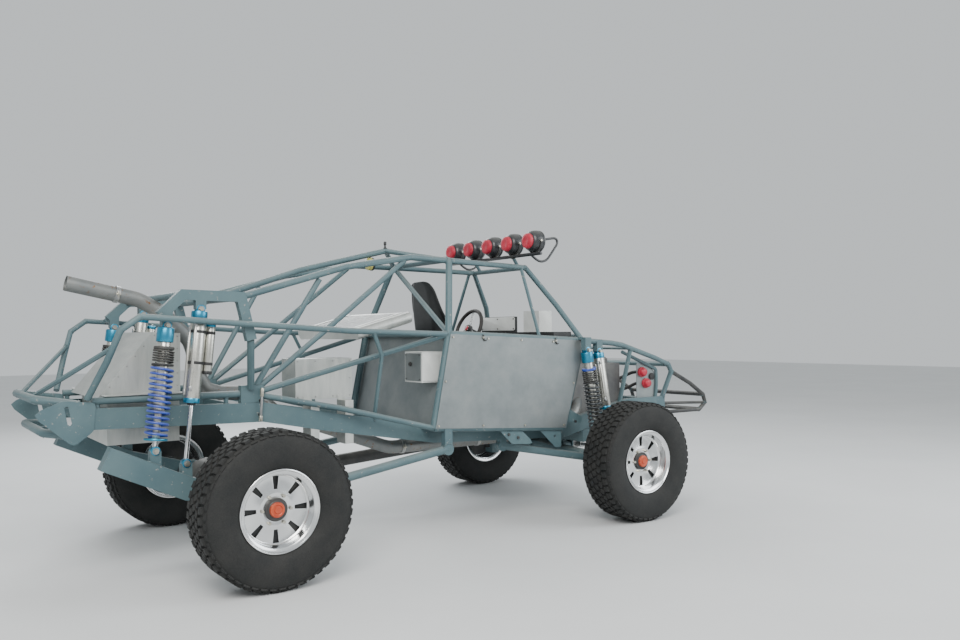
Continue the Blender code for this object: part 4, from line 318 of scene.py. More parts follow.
clear_lens = finish("clear_lens", ((0.62, 0.66, 0.68), (0.72, 0.75, 0.76)), (0.06, 0.12), metallic=0.4, blotch=30.0,
                    grain=90.0, bump=(0.35, 0.0020), coat=0.8)
amber_lens = finish("amber_lens", ((0.42, 0.42, 0.09), (0.50, 0.46, 0.14)), (0.12, 0.22), blotch=16.0, grain=90.0,
                    bump=(0.25, 0.0015), dust=0.2, coat=0.6)
rubber_hose = finish("rubber_hose", ((0.015, 0.015, 0.016), (0.026, 0.026, 0.026)), (0.55, 0.75), blotch=20.0,
                     grain=500.0, bump=(0.25, 0.0006), dust=0.3)
floor_finish = finish("floor_finish", ((0.66, 0.67, 0.67), (0.69, 0.70, 0.70)), (0.70, 0.80), blotch=0.8, grain=40.0,
                      bump=(0.05, 0.0006))
floor_mesh.materials.append(floor_finish)


def seat_cloth():
    """Black woven cloth: two crossed waves make the threads."""
    made = finish("seat_cloth", ((0.014, 0.014, 0.015), (0.030, 0.030, 0.032)), (0.72, 0.90), blotch=10.0,
                  grain=500.0, bump=(0.1, 0.0003), dust=0.3)
    tree = made.node_tree
    shader = tree.nodes["Principled BSDF"]
    shader.inputs["Sheen Weight"].default_value = 0.25
    where = tree.nodes.new("ShaderNodeTexCoord")
    heights = []
    for direction in ("X", "Y"):
        wave = tree.nodes.new("ShaderNodeTexWave")
        wave.bands_direction = direction
        wave.inputs["Scale"].default_value = 190.0
        wave.inputs["Distortion"].default_value = 0.6
        link(tree, where.outputs["Object"], wave.inputs["Vector"])
        heights.append(wave.outputs["Fac"])
    bumped(tree, shader, times(tree, heights[0], heights[1]), 0.35, 0.0008)
    return made


woven_seat = seat_cloth()
grip_leather = finish("grip_leather", ((0.016, 0.015, 0.014), (0.034, 0.031, 0.028)), (0.46, 0.66), blotch=30.0,
                      grain=700.0, bump=(0.30, 0.0006), dust=0.1)
weld_metal = finish("weld_metal", ((0.074, 0.124, 0.138), (0.122, 0.172, 0.182)), (0.34, 0.52), metallic=0.3,
                    blotch=30.0, grain=260.0, bump=(0.20, 0.0006), dust=0.3)
seat_thread = finish("seat_thread", ((0.10, 0.10, 0.11), (0.16, 0.16, 0.17)), (0.60, 0.75), blotch=40.0, grain=600.0,
                     bump=(0.2, 0.0003))
print("finishes:", len(bpy.data.materials))

# %% [markdown]
# ## Mesh helpers
# `lathe` turns a profile about an axis, `sweep` draws a round bar along a path, and `dressed` makes a
# smooth-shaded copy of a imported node. Each gives a plain mesh whose place is in its vertices.

# %% Mesh helpers


def settle(name, mesh, material, body, smooth=40.0):
    """Shades a mesh smooth up to an angle, and puts it on a body as a piece."""
    build = bmesh.new()
    build.from_mesh(mesh)
    bmesh.ops.recalc_face_normals(build, faces=build.faces)
    limit = math.radians(smooth)
    for face in build.faces:
        face.smooth = True
    for edge in build.edges:
        edge.smooth = edge.is_manifold and edge.calc_face_angle(math.pi) < limit
    build.to_mesh(mesh)
    build.free()
    if material is not None:
        mesh.materials.clear()
        mesh.materials.append(material)
    piece = bpy.data.objects.new(name, mesh)
    bpy.context.scene.collection.objects.link(piece)
    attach(piece, body)
    return piece


def body_with(node):
    """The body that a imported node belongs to."""
    for body, members in frame["record"]["behaviour"]["bodies"].items():
        if node in members:
            return body
    return "chassis"


def dressed(node, material, smooth=50.0, name=None):
    """A welded, smooth-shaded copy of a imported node, which it stands for."""
    mesh = frame["nodes"][node].data.copy()
    build = bmesh.new()
    build.from_mesh(mesh)
    bmesh.ops.remove_doubles(build, verts=build.verts, dist=0.00002)
    build.to_mesh(mesh)
    build.free()
    while mesh.attributes.get("custom_normal") is not None:
        mesh.attributes.remove(mesh.attributes["custom_normal"])
    piece = settle(name or node + "_skin", mesh, material, body_with(node), smooth)
    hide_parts(node)
    return piece


def lathe_data(profile, steps, closed):
    """Vertices and faces of a profile of (radius, height) turned about Z."""
    points, rings, faces = [], [], []
    for radius, height in profile:
        if radius < 1e-6:
            rings.append([len(points)])
            points.append((0.0, 0.0, height))
            continue
        ring = []
        for step in range(steps):
            angle = 2 * math.pi * step / steps
            ring.append(len(points))
            points.append((radius * math.cos(angle), radius * math.sin(angle), height))
        rings.append(ring)
    pairs = list(zip(rings, rings[1:] + rings[:1] if closed else rings[1:]))
    for first, second in pairs:
        for step in range(steps):
            following = (step + 1) % steps
            if len(first) == 1 and len(second) == 1:
                continue
            if len(first) == 1:
                faces.append((first[0], second[step], second[following]))
            elif len(second) == 1:
                faces.append((first[step], first[following], second[0]))
            else:
                faces.append((first[step], first[following], second[following], second[step]))
    return points, faces


def lathe(name, profile, steps=48, closed=False, matrix=None):
    """A turned mesh. A profile that isn't closed on itself starts and ends on the axis."""
    points, faces = lathe_data(profile, steps, closed)
    mesh = bpy.data.meshes.new(name)
    mesh.from_pydata(points, [], faces)
    if matrix is not None:
        mesh.transform(matrix)
    return mesh


def standing(base, along):
    """A matrix that puts Z along a direction, with its origin at base."""
    return Matrix.Translation(base) @ Vector(along).to_track_quat("Z", "Y").to_matrix().to_4x4()


def rounded_rod(radius, length, edge):
    """A profile for a bar with softened ends, from height 0 to length."""
    return [(0.0, 0.0), (radius - edge, 0.0), (radius - edge * 0.3, edge * 0.3), (radius, edge),
            (radius, length - edge), (radius - edge * 0.3, length - edge * 0.3), (radius - edge, length),
            (0.0, length)]


def bar_mesh(name, start, end, radius, edge=0.002, steps=32):
    start, end = Vector(start), Vector(end)
    return lathe(name, rounded_rod(radius, (end - start).length, edge), steps, False, standing(start, end - start))


def sweep(name, points, radius, sides=12):
    """A round bar along a path, closed at both ends."""
    points = [Vector(point) for point in points]
    rings, faces, vertices = [], [], []
    aim = (points[1] - points[0]).normalized()
    across = aim.orthogonal().normalized()
    for index, point in enumerate(points):
        fore = points[min(index + 1, len(points) - 1)]
        rear = points[max(index - 1, 0)]
        new_aim = (fore - rear).normalized()
        across = aim.rotation_difference(new_aim) @ across
        aim = new_aim
        beside = aim.cross(across)
        ring = []
        for side in range(sides):
            angle = 2 * math.pi * side / sides
            ring.append(len(vertices))
            vertices.append(point + (across * math.cos(angle) + beside * math.sin(angle)) * radius)
        rings.append(ring)
    for first, second in zip(rings, rings[1:]):
        for side in range(sides):
            following = (side + 1) % sides
            faces.append((first[side], first[following], second[following], second[side]))
    faces.append(tuple(reversed(rings[0])))
    faces.append(tuple(rings[-1]))
    mesh = bpy.data.meshes.new(name)
    mesh.from_pydata(vertices, [], faces)
    return mesh


def merged(name, meshes):
    """Joins meshes into one, with a material slot for each mesh's own material."""
    build = bmesh.new()
    finishes = []
    for mesh, material in meshes:
        if material not in finishes:
            finishes.append(material)
        start = len(build.faces)
        build.from_mesh(mesh)
        build.faces.ensure_lookup_table()
        for face in build.faces[start:]:
            face.material_index = finishes.index(material)
    result = bpy.data.meshes.new(name)
    build.to_mesh(result)
    build.free()
    for material in finishes:
        result.materials.append(material)
    return result


# %% [markdown]
# ## Repeated hardware by Geometry Nodes
# A bolt head, a rivet or a lug is the same small solid many times. The tree below puts one prism on every
# point of a mesh and turns it to the direction stored with the point. Its inputs are the prism's sizes.

# %% Hardware tree


def interface(tree, inputs):
    """Declares a tree's sockets: geometry in and out, and the named sizes."""
    tree.interface.new_socket("Geometry", in_out="INPUT", socket_type="NodeSocketGeometry")
    tree.interface.new_socket("Geometry", in_out="OUTPUT", socket_type="NodeSocketGeometry")
    for title, kind, value in inputs:
        socket = tree.interface.new_socket(title, in_out="INPUT", socket_type="NodeSocket" + kind)
        socket.default_value = value


def set_inputs(modifier, values):
    """Sets a Geometry Nodes modifier's inputs by their identifiers."""
    for item in modifier.node_group.interface.items_tree:
        if item.item_type == "SOCKET" and item.in_out == "INPUT" and item.name in values:
            modifier[item.identifier] = values[item.name]


hardware = bpy.data.node_groups.new("hardware", "GeometryNodeTree")
interface(hardware, [("Sides", "Int", 6), ("Foot Radius", "Float", 0.008), ("Top Radius", "Float", 0.007),
                     ("Height", "Float", 0.006)])
hardware.interface.new_socket("Finish", in_out="INPUT", socket_type="NodeSocketMaterial")
enter = hardware.nodes.new("NodeGroupInput")
leave = hardware.nodes.new("NodeGroupOutput")
prism = hardware.nodes.new("GeometryNodeMeshCone")
aim_at = hardware.nodes.new("GeometryNodeInputNamedAttribute")
aim_at.data_type = "FLOAT_VECTOR"
aim_at.inputs["Name"].default_value = "aim"
align = hardware.nodes.new("FunctionNodeAlignRotationToVector")
align.axis = "Z"
place_on = hardware.nodes.new("GeometryNodeInstanceOnPoints")
realize = hardware.nodes.new("GeometryNodeRealizeInstances")
coat_with = hardware.nodes.new("GeometryNodeSetMaterial")
hardware.links.new(enter.outputs["Sides"], prism.inputs["Vertices"])
hardware.links.new(enter.outputs["Foot Radius"], prism.inputs["Radius Bottom"])
hardware.links.new(enter.outputs["Top Radius"], prism.inputs["Radius Top"])
hardware.links.new(enter.outputs["Height"], prism.inputs["Depth"])
hardware.links.new(aim_at.outputs["Attribute"], align.inputs["Vector"])
hardware.links.new(enter.outputs["Geometry"], place_on.inputs["Points"])
hardware.links.new(prism.outputs["Mesh"], place_on.inputs["Instance"])
hardware.links.new(align.outputs["Rotation"], place_on.inputs["Rotation"])
hardware.links.new(place_on.outputs["Instances"], realize.inputs["Geometry"])
hardware.links.new(realize.outputs["Geometry"], coat_with.inputs["Geometry"])
hardware.links.new(enter.outputs["Finish"], coat_with.inputs["Material"])
hardware.links.new(coat_with.outputs["Geometry"], leave.inputs["Geometry"])


def baked(holder, name):
    """The evaluated mesh of a modified object; the working object goes."""
    bpy.context.view_layer.update()
    graph = bpy.context.evaluated_depsgraph_get()
    mesh = bpy.data.meshes.new_from_object(holder.evaluated_get(graph))
    mesh.name = name
    bpy.data.objects.remove(holder, do_unlink=True)
    return mesh


def studs(name, places, aims, foot, top, height, material, body, sides=6, lift=0.0):
    """One prism at each place, standing along its aim, as a piece on a body."""
    mesh = bpy.data.meshes.new(name + "_points")
    mesh.from_pydata([tuple(Vector(p) + Vector(a).normalized() * lift) for p, a in zip(places, aims)], [], [])
    store = mesh.attributes.new("aim", "FLOAT_VECTOR", "POINT")
    for index, aim in enumerate(aims):
        store.data[index].vector = Vector(aim).normalized()
    holder = bpy.data.objects.new(name + "_points", mesh)
    bpy.context.scene.collection.objects.link(holder)
    modifier = holder.modifiers.new("hardware", "NODES")
    modifier.node_group = hardware
    set_inputs(modifier, {"Sides": sides, "Foot Radius": foot, "Top Radius": top, "Height": height,
                          "Finish": material})
    made = baked(holder, name)
    return settle(name, made, material, body, 30.0)


# %% [markdown]
# ## Tyres
# An all-terrain tyre is a smooth carcass with rows of blocks. The carcass is turned from a profile with
# rounded shoulders. A tree then sets each row of blocks round a circle, turned a little so that the rows
# bite both ways, and steps every second row by half a pitch, as on the real tread.

# %% Carcass profile
TREAD_DEPTH = 0.014
SIDEWALL_TOP = TYRE_WIDTH / 2
RIM_SEAT = 0.2103
RIM_EDGE = 0.2343


def carcass_profile():
    """The outside from one bead to the other, then back along the inside."""
    crown = TYRE_RADIUS - TREAD_DEPTH
    outside = [(RIM_SEAT, 0.112), (RIM_SEAT, 0.1135), (RIM_EDGE, 0.1140), (0.2420, 0.1225), (0.2560, 0.1330),
               (0.2780, 0.1415), (0.3050, 0.1470), (0.3350, 0.1492), (0.3640, 0.1480), (0.3900, 0.1440),
               (0.4080, 0.1390), (0.4200, 0.1300), (crown - 0.004, 0.1160), (crown, 0.0900), (crown + 0.001, 0.0450)]
    mirrored = [(radius, -height) for radius, height in reversed(outside)]
    inside = [(RIM_SEAT, -0.088), (0.250, -0.105), (0.330, -0.122), (0.395, -0.112), (0.412, -0.060),
              (0.412, 0.060), (0.395, 0.112), (0.330, 0.122), (0.250, 0.105), (RIM_SEAT, 0.088)]
    return outside + mirrored + inside


# %% Tread tree
# Row table: how many blocks, distance from the middle, width across, length round, turn and step
TREAD_ROWS = [
    # count, across, wide, long, turn, step
    (50, 0.000, 0.042, 0.041, 0.40, 0.0),
    (50, 0.046, 0.041, 0.042, -0.45, 0.5),
    (50, -0.046, 0.041, 0.042, 0.45, 0.5),
    (50, 0.094, 0.044, 0.043, 0.15, 0.0),
    (50, -0.094, 0.044, 0.043, -0.15, 0.0),
]
SHOULDER_COUNT = 50

tread = bpy.data.node_groups.new("tread_row", "GeometryNodeTree")
interface(tread, [("Count", "Int", 30), ("Radius", "Float", 0.43), ("Across", "Float", 0.0), ("Wide", "Float", 0.04),
                  ("Long", "Float", 0.05), ("Tall", "Float", 0.014), ("Turn", "Float", 0.0), ("Step", "Float", 0.0),
                  ("Lean", "Float", 0.0)])


def math_node(tree, operation, first, second):
    made = tree.nodes.new("ShaderNodeMath")
    made.operation = operation
    for socket, value in zip(made.inputs, (first, second)):
        if isinstance(value, (int, float)):
            socket.default_value = value
        else:
            tree.links.new(value, socket)
    return made.outputs["Value"]


def build_tread_tree():
    """Blocks on a circle about Z: each block's foot is on the carcass and its top at the tyre's radius."""
    start = tread.nodes.new("NodeGroupInput")
    end = tread.nodes.new("NodeGroupOutput")
    circle = tread.nodes.new("GeometryNodeMeshCircle")
    tread.links.new(start.outputs["Count"], circle.inputs["Vertices"])
    tread.links.new(start.outputs["Radius"], circle.inputs["Radius"])
    block = tread.nodes.new("GeometryNodeMeshCone")
    block.inputs["Vertices"].default_value = 4
    block.inputs["Radius Bottom"].default_value = math.sqrt(0.5)
    block.inputs["Radius Top"].default_value = math.sqrt(0.5) * 0.86
    block.inputs["Depth"].default_value = 1.0
    square = tread.nodes.new("GeometryNodeTransform")
    square.inputs["Rotation"].default_value = (0.0, 0.0, math.pi / 4)
    tread.links.new(block.outputs["Mesh"], square.inputs["Geometry"])
    size = tread.nodes.new("ShaderNodeCombineXYZ")
    tread.links.new(start.outputs["Wide"], size.inputs["X"])
    tread.links.new(start.outputs["Long"], size.inputs["Y"])
    tread.links.new(start.outputs["Tall"], size.inputs["Z"])
    sized = tread.nodes.new("GeometryNodeTransform")
    tread.links.new(square.outputs["Geometry"], sized.inputs["Geometry"])
    tread.links.new(size.outputs["Vector"], sized.inputs["Scale"])
    turned = tread.nodes.new("GeometryNodeTransform")
    turn_by = tread.nodes.new("ShaderNodeCombineXYZ")
    tread.links.new(start.outputs["Turn"], turn_by.inputs["Z"])
    tread.links.new(start.outputs["Lean"], turn_by.inputs["Y"])
    tread.links.new(turn_by.outputs["Vector"], turned.inputs["Rotation"])
    tread.links.new(sized.outputs["Geometry"], turned.inputs["Geometry"])
    stand = tread.nodes.new("GeometryNodeTransform")
    stand.inputs["Rotation"].default_value = (0.0, math.pi / 2, 0.0)
    tread.links.new(turned.outputs["Geometry"], stand.inputs["Geometry"])
    index = tread.nodes.new("GeometryNodeInputIndex")
    share = math_node(tread, "DIVIDE", index.outputs["Index"], start.outputs["Count"])
    angle = math_node(tread, "MULTIPLY", share, 2 * math.pi)
    spin = tread.nodes.new("ShaderNodeCombineXYZ")
    tread.links.new(angle, spin.inputs["Z"])
    copies = tread.nodes.new("GeometryNodeInstanceOnPoints")
    tread.links.new(circle.outputs["Mesh"], copies.inputs["Points"])
    tread.links.new(stand.outputs["Geometry"], copies.inputs["Instance"])
    tread.links.new(spin.outputs["Vector"], copies.inputs["Rotation"])
    solid = tread.nodes.new("GeometryNodeRealizeInstances")
    tread.links.new(copies.outputs["Instances"], solid.inputs["Geometry"])
    shift = tread.nodes.new("ShaderNodeCombineXYZ")
    tread.links.new(start.outputs["Across"], shift.inputs["Z"])
    step_share = math_node(tread, "DIVIDE", start.outputs["Step"], start.outputs["Count"])
    step_angle = math_node(tread, "MULTIPLY", step_share, 2 * math.pi)
    step_by = tread.nodes.new("ShaderNodeCombineXYZ")
    tread.links.new(step_angle, step_by.inputs["Z"])
    moved = tread.nodes.new("GeometryNodeTransform")
    tread.links.new(solid.outputs["Geometry"], moved.inputs["Geometry"])
    tread.links.new(shift.outputs["Vector"], moved.inputs["Translation"])
    tread.links.new(step_by.outputs["Vector"], moved.inputs["Rotation"])
    both = tread.nodes.new("GeometryNodeJoinGeometry")
    tread.links.new(start.outputs["Geometry"], both.inputs["Geometry"])
    tread.links.new(moved.outputs["Geometry"], both.inputs["Geometry"])
    coated = tread.nodes.new("GeometryNodeSetMaterial")
    coated.inputs["Material"].default_value = tyre_rubber
    tread.links.new(both.outputs["Geometry"], coated.inputs["Geometry"])
    tread.links.new(coated.outputs["Geometry"], end.inputs["Geometry"])


build_tread_tree()


def tyre_mesh():
    """One tyre about Z at the origin: the carcass with all its rows."""
    carcass = lathe("carcass", carcass_profile(), 96, True)
    holder = bpy.data.objects.new("tyre_work", carcass)
    bpy.context.scene.collection.objects.link(holder)
    depth = TREAD_DEPTH + 0.006
    for count, across, wide, long, turn_angle, step in TREAD_ROWS:
        row = holder.modifiers.new("row", "NODES")
        row.node_group = tread
        set_inputs(row, {"Count": count, "Radius": TYRE_RADIUS - depth - 0.0012, "Across": across, "Wide": wide,
                         "Long": long, "Tall": depth, "Turn": turn_angle, "Step": step})
    for side in (1, -1):
        edge = holder.modifiers.new("shoulder", "NODES")
        edge.node_group = tread
        set_inputs(edge, {"Count": SHOULDER_COUNT, "Radius": TYRE_RADIUS - 0.036, "Across": side * 0.1300,
                          "Wide": 0.032, "Long": 0.038, "Tall": 0.017, "Turn": 0.0, "Step": 0.5,
                          "Lean": side * 0.95})
    return baked(holder, "tyre_work")


one_tyre = tyre_mesh()
print("one tyre: %d faces" % len(one_tyre.polygons))
for end, along in AXLE_X.items():
    for side_name, side in SIDES.items():
        mesh = one_tyre.copy()
        turn = Matrix.Rotation(-side * math.pi / 2, 4, "X")
        mesh.transform(Matrix.Translation((along, side * HALF_TRACK, TYRE_RADIUS)) @ turn)
        tyre = settle("tread_tyre_%s_%s" % (end, side_name), mesh, tyre_rubber, "wheel_%s_%s" % (end, side_name),
                      35.0)
        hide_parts("tyre_%s_%s" % (end, side_name))

# %% [markdown]
# ## Wheels
# The rim is turned from bar: a rolled lip, a deep barrel and a flat face set well back. Eight radial slots
# are then cut through the face by an exact Boolean. The hub carries a dark flange with six nuts and a
# red cap that has gone orange in the sun.

# %% Rim
RIM_FACE = 0.045
FACE_THICKNESS = 0.014
SLOT_INNER = 0.112
SLOT_OUTER = 0.186


def rim_profile():
    return [(0.0, RIM_FACE), (0.070, RIM_FACE), (0.088, RIM_FACE + 0.004), (0.096, RIM_FACE + 0.004),
            (0.108, RIM_FACE - 0.001), (0.186, RIM_FACE - 0.001), (0.194, RIM_FACE + 0.004), (0.1995, RIM_FACE + 0.014),
            (0.2005, 0.100), (0.2035, 0.110), (0.2130, 0.1165), (0.2210, 0.1185), (0.2250, 0.1235), (0.2295, 0.1250),
            (0.2330, 0.1232), (0.2340, 0.1190), (0.2335, 0.1140), (0.2100, 0.1130), (0.2100, -0.1130),
            (0.2340, -0.1130), (0.2340, -0.1250), (0.2250, -0.1250), (0.2010, -0.1130),
            (0.2010, RIM_FACE - FACE_THICKNESS - 0.010), (0.1950, RIM_FACE - FACE_THICKNESS),
            (0.058, RIM_FACE - FACE_THICKNESS), (0.058, RIM_FACE - FACE_THICKNESS - 0.11),
            (0.0, RIM_FACE - FACE_THICKNESS - 0.11)]


def slot_cutter():
    """Eight tapered bars that stand round the axis, to cut the slots."""
    build = bmesh.new()
    for index in range(8):
        spin = Matrix.Rotation(2 * math.pi * index / 8, 4, "Z")
        corners = [(SLOT_INNER, -0.011), (SLOT_OUTER, -0.018), (SLOT_OUTER, 0.018), (SLOT_INNER, 0.011)]
        low = [build.verts.new(spin @ Vector((x, y, RIM_FACE - 0.05))) for x, y in corners]
        high = [build.verts.new(spin @ Vector((x, y, RIM_FACE + 0.05))) for x, y in corners]
        build.faces.new(low[::-1])
        build.faces.new(high)
        for a in range(4):
            b = (a + 1) % 4
            build.faces.new((low[a], low[b], high[b], high[a]))
    mesh = bpy.data.meshes.new("slot_cutter")
    build.to_mesh(mesh)
    build.free()
    return mesh


def rim_mesh():
    body = bpy.data.objects.new("rim_work", lathe("rim_work", rim_profile(), 96))
    cutter = bpy.data.objects.new("rim_cutter", slot_cutter())
    for thing in (body, cutter):
        bpy.context.scene.collection.objects.link(thing)
    cut = body.modifiers.new("slots", "BOOLEAN")
    cut.operation = "DIFFERENCE"
    cut.solver = "EXACT"
    cut.object = cutter
    soften = body.modifiers.new("soften", "BEVEL")
    soften.width = 0.0012
    soften.segments = 2
    soften.limit_method = "ANGLE"
    soften.angle_limit = math.radians(60)
    mesh = baked(body, "rim_work")
    bpy.data.objects.remove(cutter, do_unlink=True)
    return mesh


one_rim = rim_mesh()
hub_ring = lathe("hub_ring", [(0.0, RIM_FACE - 0.002), (0.064, RIM_FACE - 0.002), (0.066, RIM_FACE + 0.010),
                              (0.062, RIM_FACE + 0.013), (0.050, RIM_FACE + 0.013), (0.046, RIM_FACE + 0.016),
                              (0.0, RIM_FACE + 0.016)], 48)
hub_cap = lathe("hub_cap", [(0.0, RIM_FACE + 0.012), (0.043, RIM_FACE + 0.012), (0.0435, RIM_FACE + 0.024),
                            (0.040, RIM_FACE + 0.031), (0.030, RIM_FACE + 0.033), (0.026, RIM_FACE + 0.029),
                            (0.020, RIM_FACE + 0.029), (0.017, RIM_FACE + 0.0345), (0.0, RIM_FACE + 0.0349)], 48)
plate_face = RIM_FACE - FACE_THICKNESS - 0.003
dust_plate = lathe("dust_plate", [(0.0600, plate_face), (0.1000, plate_face), (0.1100, plate_face - 0.002),
                                  (0.1880, plate_face - 0.002), (0.1900, plate_face - 0.005),
                                  (0.1880, plate_face - 0.008), (0.0600, plate_face - 0.008)], 64, True)
print("one rim: %d faces" % len(one_rim.polygons))
for end, along in AXLE_X.items():
    for side_name, side in SIDES.items():
        body = "wheel_%s_%s" % (end, side_name)
        stand = (Matrix.Translation((along, side * HALF_TRACK, TYRE_RADIUS))
                 @ Matrix.Rotation(-side * math.pi / 2, 4, "X"))
        mesh = one_rim.copy()
        mesh.transform(stand)
        rim = settle("slotted_rim_%s_%s" % (end, side_name), mesh, polished_wheel, body, 32.0)
        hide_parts("rim_%s_%s" % (end, side_name))
        for title, source, material in (("hub_flange", hub_ring, dark_steel), ("hub_cap", hub_cap, hub_red),
                                        ("dust_plate", dust_plate, dark_steel)):
            mesh = source.copy()
            mesh.transform(stand)
            settle("%s_%s_%s" % (title, end, side_name), mesh, material, body, 35.0)
        outward = Vector((0.0, side, 0.0))
        places = [stand @ Vector((0.083 * math.cos(a), 0.083 * math.sin(a), RIM_FACE + 0.004))
                  for a in (2 * math.pi * index / 6 for index in range(6))]
        studs("wheel_nuts_%s_%s" % (end, side_name), places, [outward] * 6, 0.0105, 0.0092, 0.020, zinc_bolt, body,
              6, -0.001)

# %% [markdown]
# ## Coil-over shocks
# Each coil-over is a plated body inside a wound spring, with a blue cap above, a short helper spring under it, and a
# threaded collar. The coils come from a Spiral curve and a round profile in Geometry Nodes, because a spring is exactly
# that rule.

# %% Spring tree
winding = bpy.data.node_groups.new("winding", "GeometryNodeTree")
interface(winding, [("Turns", "Float", 10.0), ("Radius", "Float", 0.058), ("Length", "Float", 0.5),
                    ("Wire", "Float", 0.007), ("Flat", "Float", 1.0)])


def build_winding_tree():
    start = winding.nodes.new("NodeGroupInput")
    end = winding.nodes.new("NodeGroupOutput")
    spiral = winding.nodes.new("GeometryNodeCurveSpiral")
    spiral.inputs["Resolution"].default_value = 26
    winding.links.new(start.outputs["Turns"], spiral.inputs["Rotations"])
    winding.links.new(start.outputs["Radius"], spiral.inputs["Start Radius"])
    winding.links.new(start.outputs["Radius"], spiral.inputs["End Radius"])
    winding.links.new(start.outputs["Length"], spiral.inputs["Height"])
    wire = winding.nodes.new("GeometryNodeCurvePrimitiveCircle")
    wire.inputs["Resolution"].default_value = 10
    winding.links.new(start.outputs["Wire"], wire.inputs["Radius"])
    skin = winding.nodes.new("GeometryNodeCurveToMesh")
    skin.inputs["Fill Caps"].default_value = True
    winding.links.new(spiral.outputs["Curve"], skin.inputs["Curve"])
    winding.links.new(wire.outputs["Curve"], skin.inputs["Profile Curve"])
    solid = winding.nodes.new("GeometryNodeRealizeInstances")
    coated = winding.nodes.new("GeometryNodeSetMaterial")
    coated.inputs["Material"].default_value = spring_coat
    winding.links.new(skin.outputs["Mesh"], solid.inputs["Geometry"])
    winding.links.new(solid.outputs["Geometry"], coated.inputs["Geometry"])
    winding.links.new(coated.outputs["Geometry"], end.inputs["Geometry"])


build_winding_tree()


def spring(name, base, along, length, turns, radius, wire, material):
    """A wound spring that stands on base."""
    holder = bpy.data.objects.new(name + "_work", bpy.data.meshes.new(name + "_work"))
    bpy.context.scene.collection.objects.link(holder)
    modifier = holder.modifiers.new("winding", "NODES")
    modifier.node_group = winding
    set_inputs(modifier, {"Turns": turns, "Radius": radius, "Length": length, "Wire": wire})
    mesh = baked(holder, name)
    mesh.transform(standing(base, along))
    return settle(name, mesh, material, "chassis", 60.0)


def eye_mesh(centre, radius=0.0258, width=0.050):
    """A shock's eye: a short bush across the racer with a softened rim."""
    centre = Vector(centre)
    offset = Vector((0.0, width / 2, 0.0))
    return bar_mesh("eye", centre - offset, centre + offset, radius, 0.003, 28)


def coilover(name, top, foot, turns, coil, collar):
    """Replaces one coil-over node with body, collar, two springs, cap and eyes."""
    top, foot = Vector(top), Vector(foot)
    along = (top - foot).normalized()
    length = (top - foot).length
    cap_base = top - along * 0.096
    seat = foot + along * 0.056
    spring_length = length * 0.72
    helper = spring_length * 0.16
    main = spring_length - helper - 0.020
    parts_list = [
        (bar_mesh("rod", foot, seat + along * 0.1, 0.0150), ground_rod),
        (bar_mesh("body", seat + along * length * 0.22, cap_base, 0.0330), plated_body),
        (bar_mesh("sleeve", seat + along * 0.012, seat + along * length * 0.24, 0.0200), plated_body),
        (bar_mesh("cap", cap_base, top - along * 0.013, 0.0475, 0.006), blue_anodise),
        (bar_mesh("foot_seat", seat, seat + along * 0.012, 0.0650, 0.003), blue_anodise),
        (bar_mesh("slider", seat + along * (0.012 + main), seat + along * (0.024 + main), 0.0600, 0.003), black_plastic),
        (bar_mesh("collar", seat + along * (spring_length + 0.002), seat + along * (spring_length + 0.020), 0.0560,
                  0.004), collar),
        (eye_mesh(foot), blue_anodise),
        (eye_mesh(top), blue_anodise),
    ]
    mesh = merged(name + "_body", parts_list)
    piece = settle(name + "_body", mesh, None, "chassis", 35.0)
    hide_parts(name)
    spring(name + "_spring", seat + along * 0.019, along, main - 0.014, turns, 0.0575, 0.0072, coil)
    spring(name + "_helper", seat + along * (0.031 + main), along, helper - 0.012, 5.0, 0.0540, 0.0052, dark_steel)
    return piece


# %% [markdown]
# The bypass shocks have no spring. A fat plated body carries three thin pipes with check valves, and a
# bright rod comes out below. The rear ones have a separate gas reservoir strapped beside them.

# %% Bypass shocks


def bottle(top, along):
    """The gas bottle ahead of a rear bypass shock: body, two caps, and a band pair at each clamp."""
    out = (Vector((1.0, 0.0, 0.0)) - along * along.x).normalized() * 0.074
    high = top - along * 0.060 + out
    low = high - along * 0.300
    pieces = [(bar_mesh("bottle", low, high, 0.0262, 0.006), plated_body),
              (bar_mesh("bottle_head", high - along * 0.026, high, 0.0276, 0.005), blue_anodise),
              (bar_mesh("bottle_foot", low, low + along * 0.020, 0.0276, 0.005), black_plastic),
              (bar_mesh("bottle_valve", high - along * 0.002, high + along * 0.010, 0.0060, 0.002, 16), zinc_bolt)]
    for share in (0.20, 0.80):
        middle = low.lerp(high, share)
        half_band = along * 0.009
        pieces.append((bar_mesh("band", middle - half_band, middle + half_band, 0.0278, 0.002), rubber_hose))
        centre = middle - out
        pieces.append((bar_mesh("band", centre - half_band, centre + half_band, 0.0462, 0.002), rubber_hose))
        pieces.append((bar_mesh("bridge", centre, middle, 0.0130, 0.002, 20), black_plastic))
    return pieces


